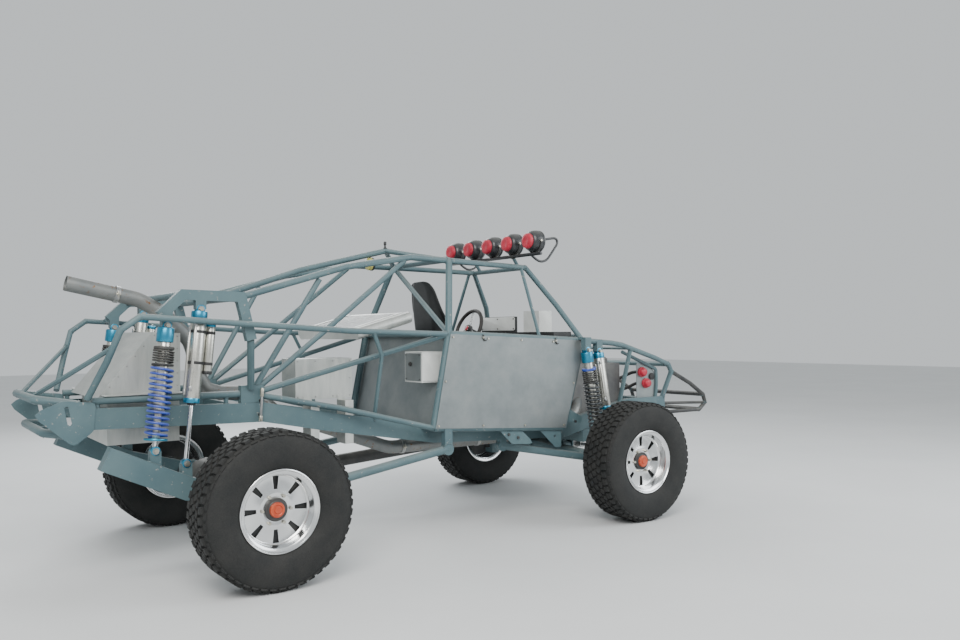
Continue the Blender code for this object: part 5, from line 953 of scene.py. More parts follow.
def bypass(name, top, foot, side, bottled):
    top, foot = Vector(top), Vector(foot)
    along = (top - foot).normalized()
    length = (top - foot).length
    body_top = top - along * 0.013
    body_foot = body_top - along * length * 0.60
    parts_list = [
        (bar_mesh("rod", foot, body_foot + along * 0.02, 0.0128), ground_rod),
        (bar_mesh("body", body_foot + along * 0.004, body_top - along * 0.030, 0.0452, 0.003), plated_body),
        (bar_mesh("foot_cap", body_foot, body_foot + along * 0.030, 0.0460, 0.004), blue_anodise),
        (bar_mesh("head_cap", body_top - along * 0.050, body_top, 0.0460, 0.006), blue_anodise),
        (bar_mesh("wiper", body_foot - along * 0.012, body_foot + along * 0.002, 0.0240, 0.002), dark_steel),
        (eye_mesh(foot), blue_anodise),
        (eye_mesh(top), blue_anodise),
    ]
    for share in (-1.0, 0.0, 1.0):
        spin = math.radians(55.0) * share
        out = Vector((-math.cos(spin), side * math.sin(spin), 0.0)) * 0.0455
        low = body_foot + out + along * (0.045 + 0.02 * (share + 1))
        high = body_top + out - along * (0.075 + 0.03 * (1 - share))
        parts_list.append((bar_mesh("pipe", low, high, 0.0088, 0.002, 16), plated_body))
        for place in (low, high):
            parts_list.append((bar_mesh("valve", place - along * 0.014, place + along * 0.014, 0.0112, 0.002, 12),
                               bare_steel))
    if bottled:
        parts_list.extend(bottle(body_top, along))
    piece = settle(name + "_body", merged(name + "_body", parts_list), None, "chassis", 35.0)
    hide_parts(name)
    return piece


SHOCK_POINTS = [
    # name, coil top, coil foot, turns, coil finish, collar finish, bypass top, bypass foot
    ("rear", (-0.4711, 0.6396, 1.4739), (-0.5462, 0.6798, 0.7742), 13.0, spring_coat, dark_steel,
     (-0.2803, 0.6396, 1.5680), (-0.3757, 0.6798, 0.6899)),
    ("front", (2.6906, 0.7004, 1.2779), (2.8264, 0.7004, 0.5135), 14.0, spring_grey, spring_coat,
     (2.9045, 0.6026, 1.2642), (2.9420, 0.7004, 0.5135)),
]


def sided(point, side):
    return at(point[0], side * point[1], point[2])


for end, coil_top, coil_foot, turns, coil, collar, bypass_top, bypass_foot in SHOCK_POINTS:
    for side_name, side in SIDES.items():
        coilover("%s_coilover_%s" % (end, side_name), sided(coil_top, side), sided(coil_foot, side), turns, coil,
                 collar)
        bypass("%s_bypass_%s" % (end, side_name), sided(bypass_top, side), sided(bypass_foot, side), side,
               end == "rear")

# %% [markdown]
# ## Lamps over the windscreen
# Five round driving lamps stand on one bar. Each has a pressed bowl, a rolled bezel, a domed lens and a red
# cover over its back. A bent rod cradles each lamp, and a bent loop guards each end of the row. All the
# round parts are turned, and the rods are drawn along curves, because that is how the real ones are made.

# %% Smooth paths


def curved(points, steps=6):
    """A smooth line through points, by cubic interpolation between neighbours."""
    points = [Vector(point) for point in points]
    line = []
    for index in range(len(points) - 1):
        before = points[max(index - 1, 0)]
        start, end = points[index], points[index + 1]
        after = points[min(index + 2, len(points) - 1)]
        for step in range(steps):
            t = step / steps
            line.append(0.5 * (2 * start + (end - before) * t + (2 * before - 5 * start + 4 * end - after) * t ** 2
                               + (3 * start - before - 3 * end + after) * t ** 3))
    line.append(points[-1])
    return line


# %% Lamp bar
LAMP_BAR_X = 2.3148
LAMP_BAR_Z = 2.0226
LAMP_PITCH = 0.265
LAMP_RISE = 0.097
BOWL = [(0.0, -0.054), (0.0605, -0.052), (0.0710, -0.045), (0.0790, -0.027), (0.0830, -0.006), (0.0846, 0.012),
        (0.0846, 0.024), (0.0832, 0.026), (0.0832, 0.029), (0.0846, 0.031), (0.0846, 0.041), (0.0836, 0.047),
        (0.0800, 0.0492), (0.0770, 0.0478), (0.0755, 0.0420), (0.0, 0.0400)]
COVER = [(0.0, -0.050), (0.0572, -0.050), (0.0596, -0.055), (0.0596, -0.060), (0.0578, -0.062), (0.0578, -0.070),
         (0.0560, -0.077), (0.0480, -0.0822), (0.0300, -0.0838), (0.0180, -0.0806), (0.0, -0.0800)]
LENS = [(0.0, 0.0395), (0.0750, 0.0400), (0.0765, 0.0425), (0.0700, 0.0452), (0.0450, 0.0488), (0.0200, 0.0506),
        (0.0, 0.0511)]
lamp_row = []
for index in range(5):
    centre = at(LAMP_BAR_X, (index - 2) * LAMP_PITCH, LAMP_BAR_Z + LAMP_RISE)
    stand = standing(centre, (1.0, 0.0, 0.0))
    for title, profile, material in (("bowl", BOWL, lamp_shell), ("cover", COVER, red_cover),
                                     ("lens", LENS, clear_lens)):
        lamp_row.append((lathe(title, profile, 48, False, stand), material))
    cradle = [centre + Vector((0.0, 0.0890 * math.cos(math.radians(a)), 0.0890 * math.sin(math.radians(a))))
              for a in range(180, 361, 15)]
    lamp_row.append((sweep("cradle", cradle, 0.0048, 12), dark_steel))
    for side in (-1, 1):
        pivot = centre + Vector((0.0, side * 0.0890, 0.0))
        lamp_row.append((bar_mesh("pivot", pivot - Vector((0.0, side * 0.008, 0.0)),
                                  pivot + Vector((0.0, side * 0.006, 0.0)), 0.0095, 0.002, 20), zinc_bolt))
half_row = 2 * LAMP_PITCH + 0.085
lamp_row.append((bar_mesh("bar", at(LAMP_BAR_X, -half_row, LAMP_BAR_Z), at(LAMP_BAR_X, half_row, LAMP_BAR_Z), 0.0138,
                          0.003, 32), lamp_shell))
LOOP = [(0.0, 0.0), (0.050, -0.034), (0.094, -0.050), (0.140, -0.044), (0.175, -0.020), (0.225, 0.040), (0.266, 0.095),
        (0.264, 0.128), (0.238, 0.138), (0.190, 0.132), (0.136, 0.122), (0.070, 0.106), (0.020, 0.092)]
for side in (-1, 1):
    loop = curved([at(LAMP_BAR_X + along, side * 0.490, LAMP_BAR_Z + up) for along, up in LOOP], 5)
    lamp_row.append((sweep("loop", loop, 0.0098, 16), lamp_shell))
    foot_y = side * 0.2626
    lamp_row.append((sweep("foot", [at(2.366, foot_y, 1.946), at(2.350, foot_y, 1.970), at(LAMP_BAR_X, foot_y, 2.0226)],
                           0.0135, 20), frame_paint))
    lamp_row.append((bar_mesh("clamp", at(LAMP_BAR_X, foot_y - 0.018, LAMP_BAR_Z),
                              at(LAMP_BAR_X, foot_y + 0.018, LAMP_BAR_Z), 0.0180, 0.003, 24), dark_steel))
lamps = settle("lamp_row", merged("lamp_row", lamp_row), None, "chassis", 35.0)
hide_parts("light_bar")
print("lamp row: %d faces" % len(lamps.data.polygons))

# %% [markdown]
# ## Driver's seat
# The seat is a moulded composite bucket with a high round-topped back. The shell is one curved sheet: a line
# runs from the front lip back and up to the top, and at each place the sheet has its own width and its own
# turned-up sides. Solidify gives the sheet its wall, and a rolled trim covers the edge.

# %% Seat shell
SEAT_Y = 0.270
SEAT_LINE = [
    # along, up, half width, depth of the sides
    (2.325, 0.868, 0.203, 0.030), (2.300, 0.884, 0.212, 0.050), (2.200, 0.873, 0.218, 0.074),
    (2.080, 0.860, 0.221, 0.088), (1.975, 0.850, 0.222, 0.098), (1.926, 0.852, 0.222, 0.104),
    (1.904, 0.874, 0.221, 0.108), (1.891, 0.920, 0.219, 0.110), (1.868, 1.060, 0.214, 0.108),
    (1.843, 1.250, 0.217, 0.104), (1.821, 1.420, 0.224, 0.092), (1.808, 1.520, 0.224, 0.070),
    (1.797, 1.600, 0.210, 0.048), (1.787, 1.680, 0.188, 0.036), (1.778, 1.750, 0.166, 0.028),
    (1.770, 1.798, 0.136, 0.018), (1.766, 1.819, 0.104, 0.010), (1.764, 1.8275, 0.060, 0.004),
]
STATIONS_PER_SPAN = 4
seat_path = curved([Vector((x, z, 0.0)) for x, z, half, depth in SEAT_LINE], STATIONS_PER_SPAN)
seat_sizes = curved([Vector((half, depth, 0.0)) for x, z, half, depth in SEAT_LINE], STATIONS_PER_SPAN)


def seat_station(share):
    """Place, inward normal, half width and side depth at a share of the seat's line."""
    where = share * (len(seat_path) - 1)
    low = min(int(where), len(seat_path) - 2)
    rest = where - low
    place = seat_path[low].lerp(seat_path[low + 1], rest)
    run = (seat_path[min(low + 2, len(seat_path) - 1)] - seat_path[max(low - 1, 0)]).normalized()
    size = seat_sizes[low].lerp(seat_sizes[low + 1], rest)
    return place, Vector((run.y, 0.0, -run.x)), size.x, size.y


def seat_surface(share, across, lift=0.0):
    """A point on the shell's inner face; across runs from -1 at the right edge to 1 at the left one."""
    place, normal, half, depth = seat_station(share)
    turned_up = max(0.0, (abs(across) - 0.58) / 0.42)
    rise = depth * turned_up * turned_up * (3 - 2 * turned_up)
    return at(place.x, SEAT_Y + across * half, place.y) + normal * (rise + lift)


def seat_shell_mesh():
    rows, columns = len(seat_path), 33
    points = [seat_surface(row / (rows - 1), -1 + 2 * column / (columns - 1))
              for row in range(rows) for column in range(columns)]
    faces = [(row * columns + column, row * columns + column + 1, (row + 1) * columns + column + 1,
              (row + 1) * columns + column) for row in range(rows - 1) for column in range(columns - 1)]
    mesh = bpy.data.meshes.new("seat_shell_work")
    mesh.from_pydata(points, [], faces)
    holder = bpy.data.objects.new("seat_shell_work", mesh)
    bpy.context.scene.collection.objects.link(holder)
    wall = holder.modifiers.new("wall", "SOLIDIFY")
    wall.thickness = 0.009
    wall.offset = 0.0
    return baked(holder, "seat_shell_work")


def seat_border():
    """The line round the shell's edge, for the trim."""
    steps = len(seat_path) - 1
    left_side = [seat_surface(step / steps, 1.0) for step in range(steps + 1)]
    right_side = [seat_surface(step / steps, -1.0) for step in range(steps, -1, -1)]
    return left_side + right_side


border = seat_border()
front_lip = [seat_surface(0.0, -1 + 2 * step / 12) for step in range(1, 12)]
trim = sweep("trim", border + front_lip + [border[0]], 0.0075, 12)
seat_pieces = [(seat_shell_mesh(), seat_shell), (trim, black_plastic)]
for side in (-1, 1):
    rail_y = SEAT_Y + side * 0.118
    seat_pieces.append((sweep("seat_leg", [at(1.985, rail_y, 0.752), at(1.990, rail_y, 0.840)], 0.0140, 16), dark_steel))
    seat_pieces.append((sweep("seat_leg", [at(2.220, rail_y, 0.742), at(2.215, rail_y, 0.866)], 0.0140, 16), dark_steel))
    seat_pieces.append((sweep("seat_rail", [at(1.940, rail_y, 0.7580), at(2.280, rail_y, 0.7440)], 0.0110, 16), dark_steel))
for along in (1.988, 2.218):
    seat_pieces.append((sweep("seat_cross", [at(along, SEAT_Y - 0.118, 0.800), at(along, SEAT_Y + 0.118, 0.800)], 0.0110,
                              16), dark_steel))
seat = settle("bucket_seat", merged("bucket_seat", seat_pieces), None, "chassis", 50.0)
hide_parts("seat")
print("seat shell: %d faces" % len(seat.data.polygons))

# %% [markdown]
# The pads are foam in woven cloth. Each starts as a flat rounded block that follows the shell. A short cloth simulation
# with air pressure swells it, so that it crowns in the middle and pulls in at its edges, as stuffed cloth does. Its
# movement is capped. Sewn channels are pressed in afterwards, because the remesh would have rubbed them out.

# %% Pads
PADS = [
    # name, first share, last share, half width as a share, thickness
    ("seat_pad", 0.045, 0.275, 0.66, 0.034),
    ("back_pad", 0.400, 0.645, 0.62, 0.030),
    ("head_pad", 0.715, 0.880, 0.56, 0.024),
]
VOXEL = 0.0055
MOST_SWELL = 0.012


def pad_block(start, end, width, depth):
    """A rounded block that lies on the shell between two shares of its line."""
    build = bmesh.new()
    bmesh.ops.create_cube(build, size=2.0)
    bmesh.ops.subdivide_edges(build, edges=build.edges, cuts=15, use_grid_fill=True)
    for vertex in build.verts:
        a, b, c = vertex.co
        across = a * math.sqrt(1 - b * b / 3.2)
        run = b * math.sqrt(1 - a * a / 3.2)
        share = start + (end - start) * (run + 1) / 2
        edge = 1 - 0.45 * max(abs(a), abs(b)) ** 6
        lift = 0.008 + depth * (c + 1) / 2 * edge
        vertex.co = seat_surface(share, across * width, lift)
    mesh = bpy.data.meshes.new("pad_block")
    build.to_mesh(mesh)
    build.free()
    return mesh


def swollen(meshes):
    """The blocks remeshed evenly, then swelled by cloth under pressure; returns plain meshes."""
    holders, starts = [], []
    for mesh in meshes:
        rough = bpy.data.objects.new("pad_work", mesh)
        bpy.context.scene.collection.objects.link(rough)
        even = rough.modifiers.new("even", "REMESH")
        even.mode = "VOXEL"
        even.voxel_size = VOXEL
        clean = baked(rough, "pad_even")
        starts.append([vertex.co.copy() for vertex in clean.vertices])
        holder = bpy.data.objects.new("pad_cloth", clean)
        bpy.context.scene.collection.objects.link(holder)
        holders.append(holder)
    for holder in holders:
        cloth = holder.modifiers.new("cloth", "CLOTH")
        cloth.settings.use_pressure = True
        cloth.settings.uniform_pressure_force = 4.0
        cloth.settings.effector_weights.gravity = 0.0
        cloth.settings.quality = 4
    for frame_number in range(1, 21):
        bpy.context.scene.frame_set(frame_number)
    results = []
    for holder, start in zip(holders, starts):
        mesh = baked(holder, "pad_swollen")
        for vertex, first in zip(mesh.vertices, start):
            move = vertex.co - first
            if move.length > MOST_SWELL:
                move = move.normalized() * MOST_SWELL
            vertex.co = first + move
        results.append(mesh)
    bpy.context.scene.frame_set(1)
    return results


def finish_pad(name, mesh, start, end, width):
    """Presses the channels in, subdivides once and adds stitches."""
    centre_share = (start + end) / 2
    normal = seat_station(centre_share)[1]
    half = seat_station(centre_share)[2] * width
    mesh.update()
    for vertex in mesh.vertices:
        across = (vertex.co.y - SEAT_Y) / half
        facing = max(0.0, vertex.normal.dot(normal))
        for channel in (-0.40, 0.40):
            gap = (across - channel) * half
            vertex.co -= normal * 0.0070 * facing * math.exp(-(gap / 0.006) ** 2)
    holder = bpy.data.objects.new(name + "_work", mesh)
    bpy.context.scene.collection.objects.link(holder)
    smooth = holder.modifiers.new("smooth", "SUBSURF")
    smooth.levels = 1
    smooth.render_levels = 1
    pad = settle(name, baked(holder, name), woven_seat, "chassis", 80.0)
    tree = BVHTree.FromPolygons([v.co for v in pad.data.vertices], [p.vertices[:] for p in pad.data.polygons])
    places, aims = [], []
    for channel in (-0.40, 0.40):
        for beside in (-0.0075, 0.0075):
            for step in range(5, 44):
                share = start + (end - start) * step / 48
                here, inward, width_here, depth_here = seat_station(share)
                above = at(here.x, SEAT_Y + channel * half + beside, here.y) + inward * 0.2
                hit, hit_normal, face, distance = tree.ray_cast(above, -inward)
                if hit is not None:
                    places.append(hit)
                    aims.append(hit_normal)
    studs(name + "_stitches", places, aims, 0.0016, 0.0011, 0.0014, seat_thread, "chassis", 6, 0.0)
    return pad


blocks = [pad_block(start, end, width, depth) for name, start, end, width, depth in PADS]
for (name, start, end, width, depth), mesh in zip(PADS, swollen(blocks)):
    pad = finish_pad(name, mesh, start, end, width)
    print("%s: %d faces" % (name, len(pad.data.polygons)))

# %% [markdown]
# ## Welds
# A tube frame is held by its welds, and each is a row of small overlapping puddles where two tubes meet. The
# line needs no measuring: on a joined mesh it is the crease where the surface folds inwards, and between two
# solids it is a sharp edge that all but touches its neighbour. Geometry Nodes then set a puddle at each step.

# %% Weld beads
WELDED = ["ladder_frame", "main_hoop", "cab_frame", "shock_towers", "rear_bumper", "nose_frame", "front_bumper",
          "front_crossmember", "side_frame_right", "side_frame_left", "rear_cage_right", "rear_cage_left",
          "trailing_arm_right", "trailing_arm_left"]
BEAD_STEP = 0.0080
LEAST_FOLD = math.radians(24.0)
TOUCH = 0.0009


def welded_copy(node):
    """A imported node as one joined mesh, to read its creases."""
    build = bmesh.new()
    build.from_mesh(frame["nodes"][node].data)
    bmesh.ops.remove_doubles(build, verts=build.verts, dist=0.00002)
    build.normal_update()
    return build


def weld_points(node, neighbours):
    """Places and aims along a node's inward folds, and along its cut ends."""
    build = welded_copy(node)
    places, aims = [], []
    for edge in build.edges:
        if len(edge.link_faces) != 2:
            continue
        fold = edge.calc_face_angle_signed(0.0)
        if abs(fold) < LEAST_FOLD:
            continue
        start, end = (vertex.co for vertex in edge.verts)
        aim = edge.link_faces[0].normal + edge.link_faces[1].normal
        if fold > 0:
            touching = None
            for tree in neighbours:
                first = tree.find_nearest(start, TOUCH)
                if first[0] is not None and tree.find_nearest(end, TOUCH)[0] is not None:
                    touching = first[1]
                    break
            if touching is None:
                continue
            side_face = min(edge.link_faces, key=lambda face: abs(face.normal.dot(touching)))
            aim = side_face.normal + touching
        if aim.length < 0.2:
            continue
        count = round((end - start).length / BEAD_STEP)
        if count == 0 and (end - start).length > BEAD_STEP * 0.45:
            count = 1
        for step in range(count):
            places.append(start.lerp(end, (step + 0.5) / count))
            aims.append(aim)
    build.free()
    return places, aims


weld_trees = {}
for node in WELDED:
    build = welded_copy(node)
    weld_trees[node] = BVHTree.FromBMesh(build)
    build.free()
bead_places, bead_aims = [], []
for node in WELDED:
    neighbours = [tree for name, tree in weld_trees.items() if name != node]
    places, aims = weld_points(node, neighbours)
    bead_places += places
    bead_aims += aims
welds = studs("weld_beads", bead_places, bead_aims, 0.0050, 0.0028, 0.0036, weld_metal, "chassis", 6,
              0.0004)
print("weld beads: %d puddles, %d faces" % (len(bead_places), len(welds.data.polygons)))

# %% [markdown]
# ## Fasteners on the sheets
# A flat sheet is screwed down round its edge, so one rule places every screw: walk round the outline, step in
# by the edge distance, and put a head on each share of the length. The heads are the same prism as the nuts.

# %% Screws round a sheet


def edge_points(outline, inset, spacing):
    """Points inside a flat outline, evenly along each of its edges."""
    outline = [Vector(point) for point in outline]
    middle = sum(outline, Vector((0.0, 0.0))) / len(outline)
    found = []
    for start, end in zip(outline, outline[1:] + outline[:1]):
        run = (end - start).normalized()
        inward = Vector((-run.y, run.x))
        if inward.dot(middle - start) < 0:
            inward = -inward
        length = (end - start).length - 2 * inset
        count = max(1, round(length / spacing))
        for step in range(count):
            found.append(start + run * (inset + length * step / count) + inward * inset)
    return found


def sheet_screws(name, outline, across, side, inset, spacing, radius, material):
    """Screw heads on an upright sheet that faces to one side."""
    places = [at(point.x, side * across, point.y) for point in edge_points(outline, inset, spacing)]
    aims = [Vector((0.0, side, 0.0))] * len(places)
    return studs(name, places, aims, radius, radius * 0.78, radius * 0.55, material, "chassis", 10,
                 radius * 0.2)


PANEL_OUTLINE = [(1.465, 1.411), (2.728, 1.352), (2.520, 0.684), (1.335, 0.760)]
CELL_OUTLINE = [(-0.786, 1.062), (-0.483, 1.436), (-0.318, 1.428), (-0.318, 1.030)]
TAB_BOLTS = [(2.072, 0.640), (1.985, 0.668), (2.640, 0.722)]
for side_name, side in SIDES.items():
    sheet_screws("panel_screws_" + side_name, PANEL_OUTLINE, 0.6443, side, 0.020, 0.34, 0.0085, zinc_bolt)
    sheet_screws("cell_rivets_" + side_name, CELL_OUTLINE, 0.3802, side, 0.016, 0.075, 0.0050, bare_steel)
    places = [at(along, side * 0.6182, up) for along, up in TAB_BOLTS]
    studs("tab_bolts_" + side_name, places, [Vector((0.0, side, 0.0))] * len(places), 0.0120, 0.0112, 0.008,
          dark_steel, "chassis", 6, 0.003)
sheet_screws("battery_box_screws", [(0.4335, 1.2544), (0.8439, 1.2544), (0.8439, 0.9859), (0.4335, 0.9859)], 0.3503, -1,
             0.016, 0.120, 0.0055, bare_steel)

# %% [markdown]
# Two spring clips hold each side panel's top edge. A clip is one bent strip with a pin through it, so a rod
# swept along four bends gives it, with a turned pin.

# %% Panel clips
clips = []
for side in (-1, 1):
    for share in (0.22, 0.76):
        along = 1.465 + (2.728 - 1.465) * share
        up = 1.411 + (1.352 - 1.411) * share
        line = [(0.000, 0.6420, 0.006), (0.000, 0.6500, 0.004), (0.000, 0.6535, -0.014), (0.004, 0.6500, -0.030),
                (0.014, 0.6500, -0.036), (0.026, 0.6505, -0.032)]
        points = curved([at(along + x, side * y, up + z) for x, y, z in line], 3)
        clips.append((sweep("clip", points, 0.0045, 10), dark_steel))
        clips.append((bar_mesh("pin", at(along, side * 0.6442, up - 0.014), at(along, side * 0.6570, up - 0.014), 0.0085,
                               0.002, 16), zinc_bolt))
settle("panel_clips", merged("panel_clips", clips), None, "chassis", 40.0)

# %% [markdown]
# ## Shock bolts
# Every eye turns on a bolt with a head outside, a nut inside and a washer under each. The mounts clasp the
# eyes, so the heads sit just outside the mounts.

# %% Shock bolts
bolt_places, bolt_aims, washer_places = [], [], []
for end, coil_top, coil_foot, turns, coil, collar, bypass_top, bypass_foot in SHOCK_POINTS:
    for point in (coil_top, coil_foot, bypass_top, bypass_foot):
        for side in (-1, 1):
            for face in (-1, 1):
                aim = Vector((0.0, face, 0.0))
                washer_places.append(sided(point, side) + aim * 0.0262)
                bolt_places.append(sided(point, side) + aim * 0.0290)
                bolt_aims.append(aim)
studs("shock_washers", washer_places, bolt_aims, 0.0190, 0.0180, 0.0030, bare_steel, "chassis", 20, 0.001)
studs("shock_bolts", bolt_places, bolt_aims, 0.0135, 0.0125, 0.0100, zinc_bolt, "chassis", 6, 0.004)
print("shock bolts:", len(bolt_places))

# %% [markdown]
# ## Dashboard and steering wheel
# The dash is a black shelf with a pale instrument plate, a row of toggles under it and a white switch box. The
# steering wheel is a round grip on three flat spokes with lightening holes, bolted to a hub.

# %% Dash plate
PLATE_REAR = 2.5106


def rounded_plate(name, width, height, thick, radius, steps=6):
    """A flat plate with round corners, in the YZ plane with its back at X = 0 and its face towards -X."""
    ring = []
    for corner, (y_sign, z_sign) in enumerate(((1, 1), (-1, 1), (-1, -1), (1, -1))):
        for step in range(steps + 1):
            angle = math.pi / 2 * (corner + step / steps)
            ring.append((y_sign * (width / 2 - radius) + radius * math.cos(angle),
                         z_sign * (height / 2 - radius) + radius * math.sin(angle)))
    count = len(ring)
    edge = thick * 0.3
    points = [(0.0, y, z) for y, z in ring] + [(edge - thick, y, z) for y, z in ring]
    shrink_y, shrink_z = 1 - 2 * edge / width, 1 - 2 * edge / height
    points += [(-thick, y * shrink_y, z * shrink_z) for y, z in ring]
    faces = [tuple(range(count)), tuple(reversed(range(2 * count, 3 * count)))]
    for low_ring, high_ring in ((0, count), (count, 2 * count)):
        for index in range(count):
            following = (index + 1) % count
            faces.append((low_ring + index, low_ring + following, high_ring + following, high_ring + index))
    mesh = bpy.data.meshes.new(name)
    mesh.from_pydata(points, [], faces)
    return mesh


plate_centre = at(PLATE_REAR, 0.200, 1.4925)
plate_mesh = rounded_plate("instrument_plate", 0.466, 0.112, 0.004, 0.018)
plate_mesh.transform(Matrix.Translation(plate_centre))
settle("instrument_plate", plate_mesh, white_box, "chassis", 40.0)
back = Vector((-1.0, 0.0, 0.0))
corners = [plate_centre + Vector((-0.004, y, z)) for y in (-0.218, 0.0, 0.218) for z in (-0.041, 0.041)]
studs("plate_screws", corners, [back] * len(corners), 0.0065, 0.0050, 0.0035, dark_steel, "chassis", 12,
      0.001)
toggle_places = [at(2.4757, -0.030 + 0.0418 * index, 1.400) for index in range(12)]
studs("toggle_bezels", toggle_places, [back] * 12, 0.0115, 0.0105, 0.0050, zinc_bolt, "chassis", 12, 0.001)
toggle_aims = [Vector((-1.0, 0.0, 0.45 if index % 3 else -0.45)) for index in range(12)]
studs("toggle_levers", toggle_places, toggle_aims, 0.0038, 0.0062, 0.0260, lamp_shell, "chassis", 12,
      0.014)

# %% Steering wheel
WHEEL_CENTRE = at(2.25278, 0.270, 1.45253)
WHEEL_AXIS = Vector((0.92718, 0.0, -0.37461))
wheel_turn = standing(WHEEL_CENTRE, WHEEL_AXIS)
grip_round = [(0.165 + 0.0158 * math.cos(2 * math.pi * step / 16), 0.0158 * math.sin(2 * math.pi * step / 16))
              for step in range(16)]
wheel_pieces = [(lathe("grip", grip_round, 72, True, wheel_turn), grip_leather)]
hub_profile = [(0.0, -0.020), (0.030, -0.020), (0.034, -0.017), (0.034, 0.016), (0.030, 0.020), (0.0, 0.020)]
wheel_pieces.append((lathe("hub", hub_profile, 40, False, wheel_turn), dark_steel))
button = [(0.0, -0.024), (0.016, -0.024), (0.020, -0.022), (0.020, -0.018), (0.0, -0.018)]
wheel_pieces.append((lathe("horn_button", button, 32, False, wheel_turn), red_cover))


def merged_plain(name, meshes):
    """Joins meshes without finishes, for a cutter."""
    build = bmesh.new()
    for mesh in meshes:
        build.from_mesh(mesh)
    bmesh.ops.recalc_face_normals(build, faces=build.faces)
    result = bpy.data.meshes.new(name)
    build.to_mesh(result)
    build.free()
    return result


def spoke_mesh(angle):
    """A flat tapered spoke with three holes, cut by an exact Boolean."""
    build = bmesh.new()
    half_in, half_out, near, far, thick = 0.0210, 0.0155, 0.026, 0.160, 0.0022
    outline = [(near, -half_in), (far, -half_out), (far, half_out), (near, half_in)]
    low = [build.verts.new((x, y, -thick)) for x, y in outline]
    high = [build.verts.new((x, y, thick)) for x, y in outline]
    build.faces.new(low[::-1])
    build.faces.new(high)
    for a in range(4):
        b = (a + 1) % 4
        build.faces.new((low[a], low[b], high[b], high[a]))
    mesh = bpy.data.meshes.new("spoke")
    build.to_mesh(mesh)
    build.free()
    drills = []
    for share, radius in ((0.24, 0.0110), (0.52, 0.0098), (0.78, 0.0086)):
        drill = bar_mesh("drill", (near + (far - near) * share, 0.0, -0.01), (near + (far - near) * share, 0.0, 0.01),
                         radius, 0.001, 24)
        drills.append((drill, None))
    body = bpy.data.objects.new("spoke_work", mesh)
    cutter = bpy.data.objects.new("spoke_cutter", merged_plain("spoke_cutter", [drill for drill, none in drills]))
    for thing in (body, cutter):
        bpy.context.scene.collection.objects.link(thing)
    cut = body.modifiers.new("holes", "BOOLEAN")
    cut.operation = "DIFFERENCE"
    cut.solver = "EXACT"
    cut.object = cutter
    made = baked(body, "spoke")
    bpy.data.objects.remove(cutter, do_unlink=True)
    made.transform(wheel_turn @ Matrix.Rotation(angle, 4, "Z"))
    return made


for spoke in range(3):
    wheel_pieces.append((spoke_mesh(2 * math.pi * spoke / 3 + math.pi / 2), bare_steel))
hand_wheel = settle("racing_wheel", merged("racing_wheel", wheel_pieces), None, body_with("steering_wheel"),
                    40.0)
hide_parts("steering_wheel")
bolt_ring = [wheel_turn @ Vector((0.025 * math.cos(a), 0.025 * math.sin(a), -0.020))
             for a in (2 * math.pi * index / 6 + 0.5 for index in range(6))]
studs("wheel_hub_bolts", bolt_ring, [-WHEEL_AXIS] * 6, 0.0040, 0.0036, 0.0030, zinc_bolt, body_with("steering_wheel"),
      6, 0.001)

# %% [markdown]
# ## Nose and engine
# A welded band rings the open nose, with two red hose fittings inside it. The engine stays a simple block, and
# its covers, belt and pulleys give it scale. Ribs and fins are one slat repeated, which is a tree's work.

# %% Slat tree
slats = bpy.data.node_groups.new("slats", "GeometryNodeTree")
interface(slats, [("Count", "Int", 10), ("Pitch", "Vector", (0.01, 0.0, 0.0)), ("Size", "Vector", (0.002, 0.1, 0.01))])
slats.interface.new_socket("Finish", in_out="INPUT", socket_type="NodeSocketMaterial")


def build_slat_tree():
    """A row of bars: how many, the step from one to the next, and the size of one."""
    start = slats.nodes.new("NodeGroupInput")
    end = slats.nodes.new("NodeGroupOutput")
    row = slats.nodes.new("GeometryNodeMeshLine")
    row.mode = "OFFSET"
    slats.links.new(start.outputs["Count"], row.inputs["Count"])
    slats.links.new(start.outputs["Pitch"], row.inputs["Offset"])
    bar = slats.nodes.new("GeometryNodeMeshCube")
    slats.links.new(start.outputs["Size"], bar.inputs["Size"])
    copies = slats.nodes.new("GeometryNodeInstanceOnPoints")
    slats.links.new(row.outputs["Mesh"], copies.inputs["Points"])
    slats.links.new(bar.outputs["Mesh"], copies.inputs["Instance"])
    solid = slats.nodes.new("GeometryNodeRealizeInstances")
    slats.links.new(copies.outputs["Instances"], solid.inputs["Geometry"])
    coated = slats.nodes.new("GeometryNodeSetMaterial")
    slats.links.new(solid.outputs["Geometry"], coated.inputs["Geometry"])
    slats.links.new(start.outputs["Finish"], coated.inputs["Material"])
    slats.links.new(coated.outputs["Geometry"], end.inputs["Geometry"])


build_slat_tree()


def slat_row(name, count, pitch, size, material, place):
    """A row of bars, put in place by a matrix."""
    holder = bpy.data.objects.new(name + "_work", bpy.data.meshes.new(name + "_work"))
    bpy.context.scene.collection.objects.link(holder)
    modifier = holder.modifiers.new("slats", "NODES")
    modifier.node_group = slats
    set_inputs(modifier, {"Count": count, "Pitch": pitch, "Size": size, "Finish": material})
    mesh = baked(holder, name)
    mesh.transform(place)
    return mesh


